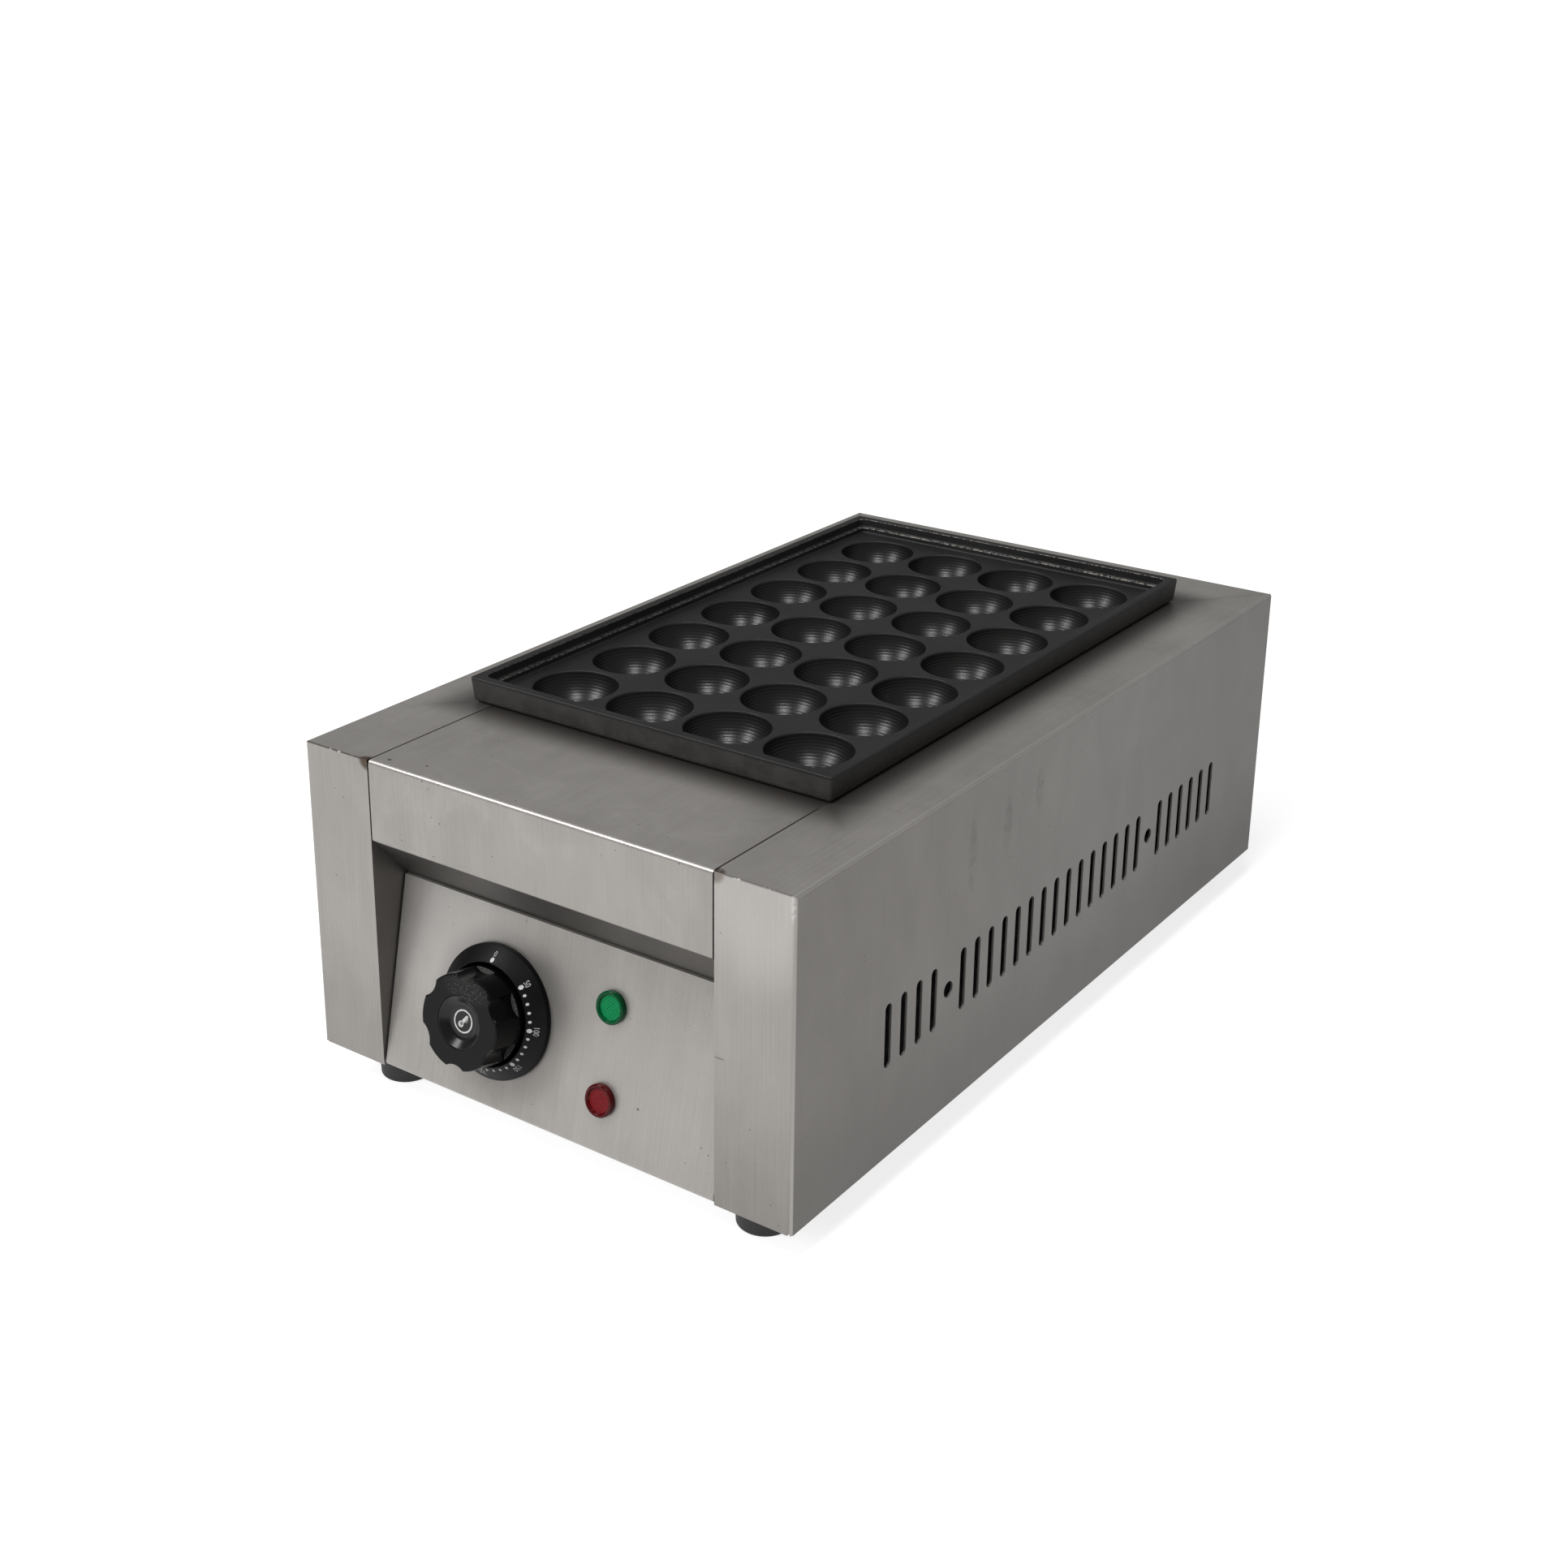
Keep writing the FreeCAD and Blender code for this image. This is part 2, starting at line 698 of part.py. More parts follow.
def heater_fittings():
    fittings = []
    for x in column_x:
        flange = cylinder(fitting_radius, -fitting_flange, 0)
        thread = cylinder(fitting_thread_radius, 0, fitting_thread)
        fitting = joined([flange, thread])
        fitting = fitting.cut(cylinder(tube_radius + fitting_braze_gap,
                                       -2 * fitting_flange, 2 * fitting_thread))
        fittings.append(facing_front(fitting, x, tray_front, tube_z))
    return fittings


def heater_nuts():
    nuts = []
    for x in column_x:
        nut = hexagon(fitting_nut_width, tray_sheet, tray_sheet + fitting_nut)
        nut = nut.cut(cylinder(fitting_thread_radius, 0, fitting_thread))
        nuts.append(facing_front(nut, x, tray_front, tube_z))
    return nuts


def heater_insulators():
    insulators = []
    for x in column_x:
        bead = cylinder(insulator_radius, 0, insulator_length)
        bead = bead.cut(cylinder(pin_radius, -1, insulator_length + 1))
        insulators.append(facing_front(bead, x, tube_end, tube_z))
    return insulators


def heater_pins():
    return [facing_front(cylinder(pin_radius, 0, pin_length), x, tube_end, tube_z)
            for x in column_x]


def heater_rests():
    """Two bridges across the tray that carry the tubes."""
    top = rest_top
    floor = tray_floor_z + tray_sheet
    rests = []
    for y in (tray_front + rest_inset, tray_back - rest_inset):
        block = box(plate_x - rest_half_length, y - rest_width / 2, floor,
                    plate_x + rest_half_length, y + rest_width / 2, top)
        block = block.makeFillet(bend_radius,
                                 edges_at(block, X_AXIS, y=y - rest_width / 2, z=top)
                                 + edges_at(block, X_AXIS, y=y + rest_width / 2, z=top))
        hollow = box(plate_x - rest_half_length - 1, y - rest_width / 2 + sheet, floor - 1,
                     plate_x + rest_half_length + 1, y + rest_width / 2 - sheet, top - sheet)
        rests.append(block.cut(hollow))
    return rests


def sensor_y():
    start = tray_front + rest_inset - clip_thickness
    return start, start + bulb_length


def sensor_bulb():
    start, end = sensor_y()
    return Part.makeCylinder(bulb_radius, end - start, V(plate_x, start, bulb_z), Y_AXIS)


def bulb_clips():
    """Posts on the front bridge that hold the bulb."""
    top = bulb_z + bulb_radius + clip_height_margin
    base = rest_top
    y = tray_front + rest_inset
    post = box(plate_x - clip_width / 2, y - clip_thickness / 2, base,
               plate_x + clip_width / 2, y + clip_thickness / 2, top)
    post = post.makeFillet(bend_radius, edges_at(post, Y_AXIS, z=top))
    return post.cut(sensor_bulb())


def capillary_tube():
    """Thin tube from the bulb through the tray's wall to the thermostat."""
    start, _ = sensor_y()
    back = on_panel(Part.Vertex(0, 0, -sheet - thermostat_depth), control_x, control_s).Point
    drop_y = tray_front - fitting_thread - tray_sheet - 2 * capillary_bend
    points = [V(plate_x, start, bulb_z),
              V(plate_x, drop_y, bulb_z),
              V(plate_x, drop_y, back.z + thermostat_height / 4),
              V(control_x, drop_y, back.z + thermostat_height / 4),
              V(control_x, back.y + math.tan(panel_tilt) * thermostat_height / 4,
                back.z + thermostat_height / 4)]
    return tube(points, capillary_radius, capillary_bend)


def thermostat_body():
    """Switch block with a bushing that the shaft turns in."""
    block = box(-thermostat_width / 2, -thermostat_height / 2, -sheet - thermostat_depth,
                thermostat_width / 2, thermostat_height / 2, -sheet)
    block = block.makeFillet(bend_radius, [e for e in block.Edges
                                           if abs(e.tangentAt(e.FirstParameter).z) > 0.5])
    bushing = cylinder(bushing_radius, -sheet, bushing_length)
    body = joined([block, bushing])
    bore = cylinder(shaft_radius + shaft_running_gap, -shaft_back - shaft_running_gap,
                    bushing_length + 1)
    sockets = [cylinder(thermostat_screw_radius, -sheet - thermostat_screw_length, 0,
                        x=side * screw_spacing / 2) for side in (-1, 1)]
    return on_panel(body.cut([bore] + sockets), control_x, control_s)


def thermostat_screws():
    screws = []
    for side in (-1, 1):
        x = side * screw_spacing / 2
        head = cylinder(screw_head_radius, dial_floor, dial_floor + screw_head_height, x=x)
        shank = cylinder(thermostat_screw_radius, -thermostat_screw_length, dial_floor, x=x)
        screws.append(on_panel(joined([head, shank]), control_x, control_s))
    return screws


def flatted_rod(radius, z0, z1):
    rod = cylinder(radius, z0, z1)
    flat = box(-2 * radius, radius - shaft_flat_depth, z1 - shaft_flat_length,
               2 * radius, 2 * radius, z1 + 1)
    return rod.cut(flat)


def thermostat_shaft():
    return on_panel(flatted_rod(shaft_radius, -shaft_back, shaft_front), control_x, control_s)


def revolved(profile):
    """Solid of revolution about z from (radius, z) points."""
    corners = [V(r, 0, z) for r, z in profile]
    return Part.Face(Part.makePolygon(corners + corners[:1])).revolve(V(0, 0, 0), Z_AXIS, 360)


def circles_at(shape, radius, z):
    return [e for e in shape.Edges if isinstance(e.Curve, Part.Circle)
            and abs(e.Curve.Radius - radius) < 1e-4 and abs(e.Curve.Center.z - z) < 1e-4]


def dial_ring():
    """Raised scale ring around the knob, held by the thermostat's screws."""
    ring = revolved([(dial_bore, dial_floor), (dial_bore, dial_height),
                     (dial_radius - dial_shoulder, dial_height), (dial_radius, dial_wall),
                     (dial_radius, 0), (0, 0), (0, dial_floor)])
    ring = ring.makeFillet(dial_shoulder / 2,
                           circles_at(ring, dial_radius - dial_shoulder, dial_height)
                           + circles_at(ring, dial_radius, dial_wall))
    holes = [cylinder(bushing_radius + screw_hole_gap, -1, dial_height)]
    holes += [cylinder(thermostat_screw_radius + screw_hole_gap, -1, dial_height,
                       x=side * screw_spacing / 2) for side in (-1, 1)]
    return on_panel(ring.cut(holes), control_x, control_s)


def knob():
    """Fluted hollow knob with a hub on the shaft and a recess for its cap."""
    base_z = dial_floor + knob_clearance
    outside = Part.makeCone(knob_base_radius, knob_front_radius, knob_front - base_z,
                            V(0, 0, base_z))
    flute_axis = knob_front_radius + flute_radius - flute_depth
    flutes = []
    for index in range(flute_count):
        angle = math.radians(90 + index * 360 / flute_count)
        flutes.append(cylinder(flute_radius, flute_start, knob_front + 1,
                               flute_axis * math.cos(angle), flute_axis * math.sin(angle)))
    outside = outside.cut(flutes)
    front = [e for e in outside.Edges
             if all(abs(v.Point.z - knob_front) < 1e-4 for v in e.Vertexes)]
    outside = outside.makeFillet(knob_edge_radius, front)
    inner_radius = knob_front_radius - knob_wall - flute_depth
    hollow = cylinder(inner_radius, base_z - 1, knob_front - knob_face)
    screw_room = cylinder(screw_spacing / 2 + screw_head_radius + knob_wall / 2, base_z - 1,
                          flute_start - knob_wall)
    hub = cylinder(knob_hub_radius, bushing_length + knob_clearance, knob_front - knob_face)
    body = outside.cut([hollow, screw_room]).fuse(hub).removeSplitter()
    bore = flatted_rod(shaft_radius + knob_hub_gap, base_z, shaft_front + knob_hub_gap)
    recess = cylinder(dish_radius, knob_front - dish_depth - cap_thickness, knob_front + 1)
    return on_panel(body.cut([bore, recess]), control_x, control_s)


def knob_cap():
    """Dished disc that closes the front of the knob."""
    bottom = knob_front - dish_depth - cap_thickness
    disc = cylinder(dish_radius - cap_gap, bottom, knob_front)
    rim = dish_radius - cap_gap
    sphere_radius = (rim ** 2 + dish_depth ** 2) / (2 * dish_depth)
    dish = Part.makeSphere(sphere_radius, V(0, 0, knob_front - dish_depth + sphere_radius))
    return on_panel(disc.cut(dish), control_x, control_s)


def lamp_lens(side):
    lens = cylinder(lens_radius, 0, lens_height)
    lens = lens.makeFillet(lens_edge_radius, circles_at(lens, lens_radius, lens_height))
    return on_panel(lens, lamp_x, control_s + side * lamp_rise)


def lamp_pieces(build):
    return [on_panel(build(), lamp_x, control_s + side * lamp_rise) for side in (-1, 1)]


def lamp_body():
    return cylinder(lamp_body_radius, -lamp_body_length, 0)


def lamp_nut():
    nut = hexagon(lamp_nut_width, -sheet - lamp_nut_height, -sheet)
    return nut.cut(cylinder(lamp_body_radius, -lamp_body_length, 0))


def lamp_blades():
    blades = []
    for side in (-1, 1):
        for x in (-blade_spacing / 2, blade_spacing / 2):
            blade = box(x - blade_thickness / 2, -blade_width / 2,
                        -lamp_body_length - blade_length,
                        x + blade_thickness / 2, blade_width / 2, -lamp_body_length)
            blades.append(on_panel(blade, lamp_x, control_s + side * lamp_rise))
    return blades


def pole_positions():
    step = block_length / block_poles
    return [block_x + (i - (block_poles - 1) / 2) * step for i in range(block_poles)]


def terminal_block():
    top = base_top + block_height
    block = box(block_x - block_length / 2, block_y - block_width / 2, base_top,
                block_x + block_length / 2, block_y + block_width / 2, top)
    cutters = []
    for x in pole_positions():
        cutters.append(cylinder(block_well_radius, top - block_well_depth, top + 1, x, block_y))
        cutters.append(Part.makeCylinder(block_wire_radius, block_width + 2,
                                         V(x, block_y - block_width / 2 - 1,
                                           base_top + block_height / 3), Y_AXIS))
    return block.cut(cutters)


def terminal_screws():
    z0 = base_top + block_height - block_well_depth
    return [cylinder(block_screw_radius, z0, z0 + block_screw_height, x, block_y)
            for x in pole_positions()]


def gland_body():
    flange = hexagon(gland_hex_width, 0, gland_flange)
    thread = cylinder(gland_thread_radius, -gland_thread, 0)
    body = joined([flange, thread])
    return on_back(body.cut(cylinder(cable_radius, -gland_thread - 1, gland_flange + 1)),
                   gland_x, gland_height)


def gland_cap():
    """Dome nut that clamps the cable."""
    z0, z1 = gland_flange, gland_flange + gland_cap_hex
    skirt = hexagon(gland_hex_width, z0, z1)
    nose = Part.makeCone(gland_hex_width / 2, gland_nose_radius,
                         gland_cap_length - gland_cap_hex, V(0, 0, z1))
    cap = joined([skirt, nose])
    return on_back(cap.cut(cylinder(cable_radius, z0 - 1, z0 + gland_cap_length + 1)),
                   gland_x, gland_height)


def gland_locknut():
    nut = hexagon(gland_hex_width, -sheet - gland_nut_height, -sheet)
    return on_back(nut.cut(cylinder(gland_thread_radius, -gland_thread, 0)),
                   gland_x, gland_height)


def bonding_bolt():
    head = hexagon(bond_head_width, -sheet - bond_head_height, -sheet)
    shank = cylinder(bond_radius, -sheet, bond_length)
    return on_back(joined([head, shank]), bond_x, bond_height)


def bonding_washers():
    washers = []
    for z0 in (0, bond_washer_height + bond_nut_height):
        washer = cylinder(bond_washer_radius, z0, z0 + bond_washer_height)
        washers.append(on_back(washer.cut(cylinder(bond_radius, -1, bond_length)),
                               bond_x, bond_height))
    return washers


def bonding_nut():
    nut = hexagon(bond_head_width, bond_washer_height, bond_washer_height + bond_nut_height)
    return on_back(nut.cut(cylinder(bond_radius, 0, bond_length)), bond_x, bond_height)


def pieces():
    right_side = side_panel()
    return {
        "takoyaki_plate": takoyaki_plate(),
        "plate_cups": plate_cups(),
        "right_side_panel": right_side,
        "left_side_panel": mirrored(right_side),
        "rear_panel": rear_panel(),
        "front_cover": front_cover(),
        "control_panel": control_panel(),
        "base_plate": base_plate(),
        "rubber_feet": rubber_feet(),
        "foot_screws": foot_screws(),
        "foot_nuts": foot_nuts(),
        "hem_screws": hem_screws(),
        "heater_tray": heater_tray(),
        "left_heating_tube": heating_tube(0, 1),
        "right_heating_tube": heating_tube(2, 3),
        "heater_fittings": heater_fittings(),
        "heater_nuts": heater_nuts(),
        "heater_insulators": heater_insulators(),
        "heater_pins": heater_pins(),
        "heater_rests": heater_rests(),
        "sensor_bulb": sensor_bulb(),
        "bulb_clip": bulb_clips(),
        "capillary_tube": capillary_tube(),
        "thermostat_body": thermostat_body(),
        "thermostat_shaft": thermostat_shaft(),
        "thermostat_screws": thermostat_screws(),
        "dial_ring": dial_ring(),
        "control_knob": knob(),
        "knob_cap": knob_cap(),
        "upper_lamp_lens": lamp_lens(1),
        "lower_lamp_lens": lamp_lens(-1),
        "lamp_bodies": lamp_pieces(lamp_body),
        "lamp_nuts": lamp_pieces(lamp_nut),
        "lamp_blades": lamp_blades(),
        "terminal_block": terminal_block(),
        "terminal_screws": terminal_screws(),
        "gland_body": gland_body(),
        "gland_cap": gland_cap(),
        "gland_locknut": gland_locknut(),
        "bonding_bolt": bonding_bolt(),
        "bonding_washers": bonding_washers(),
        "bonding_nut": bonding_nut(),
    }


def main():
    """Writes every piece with the origin under the middle of the whole object."""
    os.makedirs("parts", exist_ok=True)
    shapes = {name: Part.makeCompound(piece) if isinstance(piece, list) else piece
              for name, piece in pieces().items()}
    front = shapes["control_knob"].optimalBoundingBox(False, False).YMin
    back = shapes["gland_cap"].optimalBoundingBox(False, False).YMax
    move = V(0, -(front + back) / 2, foot_clearance)
    for name, shape in shapes.items():
        shape.translate(move)
        shape.exportStep(os.path.join("parts", name + ".step"))
        solids = shape.Solids
        print(name, len(solids), "solids", round(sum(s.Volume for s in solids)),
              "valid" if shape.isValid() else "NOT VALID")
    print("shift", move, "width", 2 * body_half, "depth", body_depth)


main()
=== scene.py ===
import json
import math

import bpy
from mathutils import Matrix, Vector


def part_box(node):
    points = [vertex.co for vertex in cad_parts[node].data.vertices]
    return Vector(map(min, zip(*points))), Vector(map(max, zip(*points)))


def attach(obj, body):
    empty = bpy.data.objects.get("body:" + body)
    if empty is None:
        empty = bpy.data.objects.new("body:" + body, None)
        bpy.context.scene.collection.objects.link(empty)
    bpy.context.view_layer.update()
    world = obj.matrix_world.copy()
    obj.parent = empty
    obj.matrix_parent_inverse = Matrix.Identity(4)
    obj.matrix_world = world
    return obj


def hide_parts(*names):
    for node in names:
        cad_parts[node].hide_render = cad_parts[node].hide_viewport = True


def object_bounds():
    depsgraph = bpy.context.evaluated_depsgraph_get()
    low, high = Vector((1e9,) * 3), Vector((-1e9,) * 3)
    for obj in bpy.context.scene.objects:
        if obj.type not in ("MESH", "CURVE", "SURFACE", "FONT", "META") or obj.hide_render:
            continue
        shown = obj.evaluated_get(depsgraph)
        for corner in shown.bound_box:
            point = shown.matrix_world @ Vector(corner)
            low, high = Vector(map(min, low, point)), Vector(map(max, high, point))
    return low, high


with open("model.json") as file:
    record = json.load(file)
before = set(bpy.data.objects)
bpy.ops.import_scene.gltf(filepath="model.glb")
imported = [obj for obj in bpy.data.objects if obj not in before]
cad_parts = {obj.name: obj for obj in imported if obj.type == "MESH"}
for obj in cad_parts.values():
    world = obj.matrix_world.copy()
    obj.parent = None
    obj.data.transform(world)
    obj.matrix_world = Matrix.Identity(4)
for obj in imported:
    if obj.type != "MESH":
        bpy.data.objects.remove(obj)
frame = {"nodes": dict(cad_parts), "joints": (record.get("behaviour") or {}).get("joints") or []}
cad_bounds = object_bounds()

MM = 0.001

# ---------------------------------------------------------------- sizes of the griddle

PITCH = 43.5 * MM
COLUMNS, ROWS = 4, 7
CUP_MOUTH = 20.0 * MM
CUP_DEPTH = 17.0 * MM
CUP_WALL = 2.8 * MM
CUP_SPHERE = (CUP_MOUTH ** 2 + CUP_DEPTH ** 2) / (2 * CUP_DEPTH)
MOUTH_ROUND = 0.8 * MM
FLAT_DROP = 7.1 * MM
LEDGE_DROP = 4.2 * MM

plate_low, plate_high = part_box("takoyaki_plate")
PLATE_X = (plate_low.x + plate_high.x) / 2
PLATE_Y = (plate_low.y + plate_high.y) / 2
PLATE_HALF_X = (plate_high.x - plate_low.x) / 2
PLATE_HALF_Y = (plate_high.y - plate_low.y) / 2
PLATE_BOTTOM = plate_low.z
RIM_Z = plate_high.z
FLAT_Z = RIM_Z - FLAT_DROP
LEDGE_Z = RIM_Z - LEDGE_DROP
CUP_CENTRE_Z = FLAT_Z + CUP_SPHERE - CUP_DEPTH
COLUMN_X = [PLATE_X + (i - (COLUMNS - 1) / 2) * PITCH for i in range(COLUMNS)]
ROW_Y = [PLATE_Y + (j - (ROWS - 1) / 2) * PITCH for j in range(ROWS)]

HOUSING_HALF = cad_bounds[1][0]
CHEEK_WIDTH = 38.0 * MM
cover_low, cover_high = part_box("front_cover")
FRONT_Y = cover_low.y
DECK_Z = cover_high.z

# the control panel leans back; the dial and the lamps stand square to it
LEAN_COS, LEAN_SIN = 0.9782005, 0.20766268
PANEL_OUT = Vector((0, -LEAN_COS, LEAN_SIN))
PANEL_UP = Vector((0, LEAN_SIN, LEAN_COS))
PANEL_ACROSS = Vector((1, 0, 0))
knob_joint = next(joint for joint in frame["joints"] if joint["name"] == "knob_turn")
DIAL_CENTRE = Vector(knob_joint["pos_m"])
LAMP_X = 30.4 * MM
LAMP_RISE = 20.6 * MM
WINDOW_OUT = 1.5 * MM
KNOB_FRONT = 24.8 * MM


# ---------------------------------------------------------------- shader arithmetic

class Tone:
    """A shader socket that adds, scales and wraps like a number."""

    def __init__(self, socket):
        self.socket = socket

    def calc(self, operation, *terms):
        node = self.socket.id_data.nodes.new("ShaderNodeMath")
        node.operation = operation
        for slot, term in zip(node.inputs, terms):
            feed(slot, term)
        return Tone(node.outputs[0])

    def __add__(self, other):
        return self.calc("ADD", self, other)

    def __radd__(self, other):
        return self.calc("ADD", other, self)

    def __sub__(self, other):
        return self.calc("SUBTRACT", self, other)

    def __rsub__(self, other):
        return self.calc("SUBTRACT", other, self)

    def __mul__(self, other):
        return self.calc("MULTIPLY", self, other)

    def __rmul__(self, other):
        return self.calc("MULTIPLY", other, self)

    def __truediv__(self, other):
        return self.calc("DIVIDE", self, other)

    def __mod__(self, other):
        return self.calc("FLOORED_MODULO", self, other)

    def __abs__(self):
        return self.calc("ABSOLUTE", self)


def feed(slot, value):
    """Links a tone to an input, or sets the input to a plain value."""
    if isinstance(value, Tone):
        slot.id_data.links.new(value.socket, slot)
    elif slot.type == "RGBA" and len(value) == 3:
        slot.default_value = (*value, 1.0)
    else:
        slot.default_value = value


class Finish:
    """A finish being made: the surface shader and the nodes that vary it."""

    def __init__(self, name, surface=()):
        self.material = bpy.data.materials.new(name)
        self.material.use_nodes = True
        self.tree = self.material.node_tree
        self.shader = self.tree.nodes["Principled BSDF"]
        self.place = self.node("ShaderNodeTexCoord", output="Object")
        self.x, self.y, self.z = (self.part(self.place, axis) for axis in range(3))
        self.height = None
        for key, value in dict(surface).items():
            self.set(key, value)

    def node(self, kind, settings=(), inputs=(), output=0):
        node = self.tree.nodes.new(kind)
        for key, value in dict(settings).items():
            setattr(node, key, value)
        for key, value in dict(inputs).items():
            feed(node.inputs[key], value)
        return Tone(node.outputs[output])

    def part(self, vector, axis):
        """One of a vector's three numbers."""
        return self.node("ShaderNodeSeparateXYZ", inputs={0: vector}, output=axis)

    def normal(self):
        return self.node("ShaderNodeNewGeometry", output="Normal")

    def facing(self, axis):
        """How far the surface faces along an axis, from -1 to 1."""
        return self.part(self.normal(), axis)

    def along(self, vector, direction):
        """A vector's reach along a direction."""
        return self.node("ShaderNodeVectorMath", {"operation": "DOT_PRODUCT"},
                         {0: vector, 1: direction}, output="Value")

    def set(self, name, value):
        feed(self.shader.inputs[name], value)

    def stretched(self, sx, sy, sz):
        """The place, scaled on each axis for a texture with a direction."""
        return self.node("ShaderNodeVectorMath", {"operation": "MULTIPLY"},
                         {0: self.place, 1: (sx, sy, sz)})

    def noise(self, scale, detail=2.0, roughness=0.5, distortion=0.0, vector=None):
        return self.node("ShaderNodeTexNoise", {}, {
            "Vector": vector or self.place, "Scale": scale, "Detail": detail,
            "Roughness": roughness, "Distortion": distortion})

    def cells(self, scale, vector=None, randomness=1.0, output="Distance"):
        return self.node("ShaderNodeTexVoronoi", {}, {
            "Vector": vector or self.place, "Scale": scale, "Randomness": randomness}, output)

    def rise(self, value, low, high):
        """0 below low, 1 above high and a smooth step between."""
        return self.node("ShaderNodeMapRange", {"interpolation_type": "SMOOTHSTEP"}, {
            "Value": value, "From Min": low, "From Max": high})

    def band(self, value, start, full, fading, end):
        """1 from full to fading, 0 below start and above end."""
        return self.rise(value, start, full) * (1 - self.rise(value, fading, end))

    def patch(self, centre, radii, soft):
        """A soft oval patch round a point: 1 at its middle, 0 outside. A radius of 0
        leaves that axis out."""
        total = 0.0
        for axis, middle, radius in zip((self.x, self.y, self.z), centre, radii):
            if radius:
                reach = (axis - middle) / radius
                total = reach * reach + total
        return 1 - self.rise(total, 1.0 - soft, 1.0 + soft)

    def mix(self, first, second, mask):
        return self.node("ShaderNodeMix", {"data_type": "RGBA"},
                         {0: mask, 6: first, 7: second}, output=2)

    def bump(self, height, distance):
        """Adds a layer of relief, its height in metres at height 1."""
        inputs = {"Height": height, "Distance": distance, "Strength": 1.0}
        if self.height:
            inputs["Normal"] = self.height
        self.height = self.node("ShaderNodeBump", {}, inputs)
        self.set("Normal", self.height)


# ---------------------------------------------------------------- finishes

STEEL_DARK = (0.305, 0.291, 0.274)
STEEL_LIGHT = (0.392, 0.374, 0.353)
STEEL_BRIGHT = (0.66, 0.64, 0.62)
STEEL_BROWN = (0.110, 0.078, 0.056)
# dark of soot, pits and streaks, also used for painted shade and painted shadow
STEEL_SOOT_AND_SHADE = (0.042, 0.037, 0.033)
STEEL_WELD = (0.070, 0.044, 0.028)
GRAIN_LINES, GRAIN_RUN = 1900, 14

# marks on the sheets: a place and its reach on each axis, 0 where an axis doesn't count
PITS = (((-0.0851, -0.2195, 0), (1.0 * MM, 0.8 * MM, 0)),
        ((-0.0672, -0.2152, 0), (0.7 * MM, 0.6 * MM, 0)))
SPILL = ((-0.058, 0, 0.040), (46 * MM, 0, 36 * MM))
# a patch darker round the dial
DIAL_DARKENING = ((DIAL_CENTRE.x + 3 * MM, 0, DIAL_CENTRE.z - 1 * MM), (37 * MM, 0, 37 * MM))
PANEL_SPECK = ((0.0495, 0, 0.0431), (0.6 * MM, 0, 0.6 * MM))
# patch of painted light at the top left of the panel
LIT_PANEL_PATCH = ((-0.080, 0, 0.088), (50 * MM, 0, 34 * MM))
WIPES = (((0, -0.0909, 0.1345), (0, 3.4 * MM, 16 * MM)),
         ((0, -0.0604, 0.1365), (0, 3.4 * MM, 12 * MM)),
         ((0, -0.0315, 0.1440), (0, 3.4 * MM, 10 * MM)))
# patch of painted sheen near the top of the right front
SHEEN_PATCH = ((0.113, 0, 0.160), (30 * MM, 0, 32 * MM))
# bright speckled streak down the top of the front-right edge
EDGE_STREAK = ((HOUSING_HALF - 1.2 * MM, FRONT_Y, 0.1615), (0.9 * MM, 2.0 * MM, 6.0 * MM))
SCRATCH = ((0.0954, FRONT_Y, 0.0859), (2.6 * MM, 2.0 * MM, 0.4 * MM))
WELD_REACH = (4.6 * MM, 3.4 * MM, 4.8 * MM)


def sheet_steel(name, marks):
    """Satin stainless sheet: fine grain, cloudy wiping marks and tiny specks.

    The grain runs up the walls. The bends between the front and the top and between
    a side and the top carry a painted highlight, paler than the sheet. Marks gives
    (mask, colour, strength) for what is on this sheet only."""
    steel = Finish(name, {"Metallic": 0.66})
    up, out, across = steel.facing(2), abs(steel.facing(1)), abs(steel.facing(0))
    front_bend = steel.rise(out * up * 2, 0.80, 0.99)
    top_bend = steel.rise(up * across * 2, 0.2, 0.9)
    bent = (out * abs(up) + out * across + across * abs(up)) * 2
    flat = 1 - steel.rise(bent, 0.45, 0.6)
    walls = steel.rise(across, 0.6, 0.8)
    on_front = steel.stretched(GRAIN_LINES, GRAIN_RUN, GRAIN_RUN)
    on_side = steel.stretched(GRAIN_RUN, GRAIN_LINES, GRAIN_RUN)
    fine = (1 - walls) * steel.noise(1.0, 3.0, 0.6, vector=on_front) \
        + walls * (0.3 + 0.4 * steel.noise(1.0, 3.0, 0.6, vector=on_side))
    cloud = steel.noise(10.0, 5.0, 0.55, 0.5)
    smear = steel.noise(1.0, 3.0, 0.55, 0.6, vector=steel.stretched(60, 40, 24))
    fleck = steel.noise(900.0, 2.0, 0.7)
    level = steel.rise(cloud * 0.40 + smear * 0.2 + fine * 0.28 + fleck * 0.12, 0.34, 0.66)
    colour = steel.mix(STEEL_DARK, STEEL_LIGHT, level)
    speck = 1 - steel.rise(steel.cells(200.0), 0.05, 0.10)
    rare = steel.rise(steel.noise(45.0, 1.0), 0.58, 0.64)
    colour = steel.mix(colour, STEEL_SOOT_AND_SHADE, speck * rare * 0.7)
    # painted highlight along the bends between the front and the top and between a side and the
    # top
    colour = steel.mix(colour, STEEL_BRIGHT, front_bend * 0.32 + top_bend * 0.30)
    for mask, tint, strength in marks(steel):
        colour = steel.mix(colour, tint, mask * strength)
    steel.set("Base Color", colour)
    steel.set("Roughness", 0.38 + cloud * 0.08 + fine * 0.06 - smear * 0.04
              - front_bend * 0.10)
    steel.bump(fine * flat, 0.010 * MM)
    steel.bump(smear * flat, 0.04 * MM)
    return steel.material


def front_face(steel):
    """1 where a sheet faces the front."""
    return steel.rise(abs(steel.facing(1)), 0.7, 0.95)


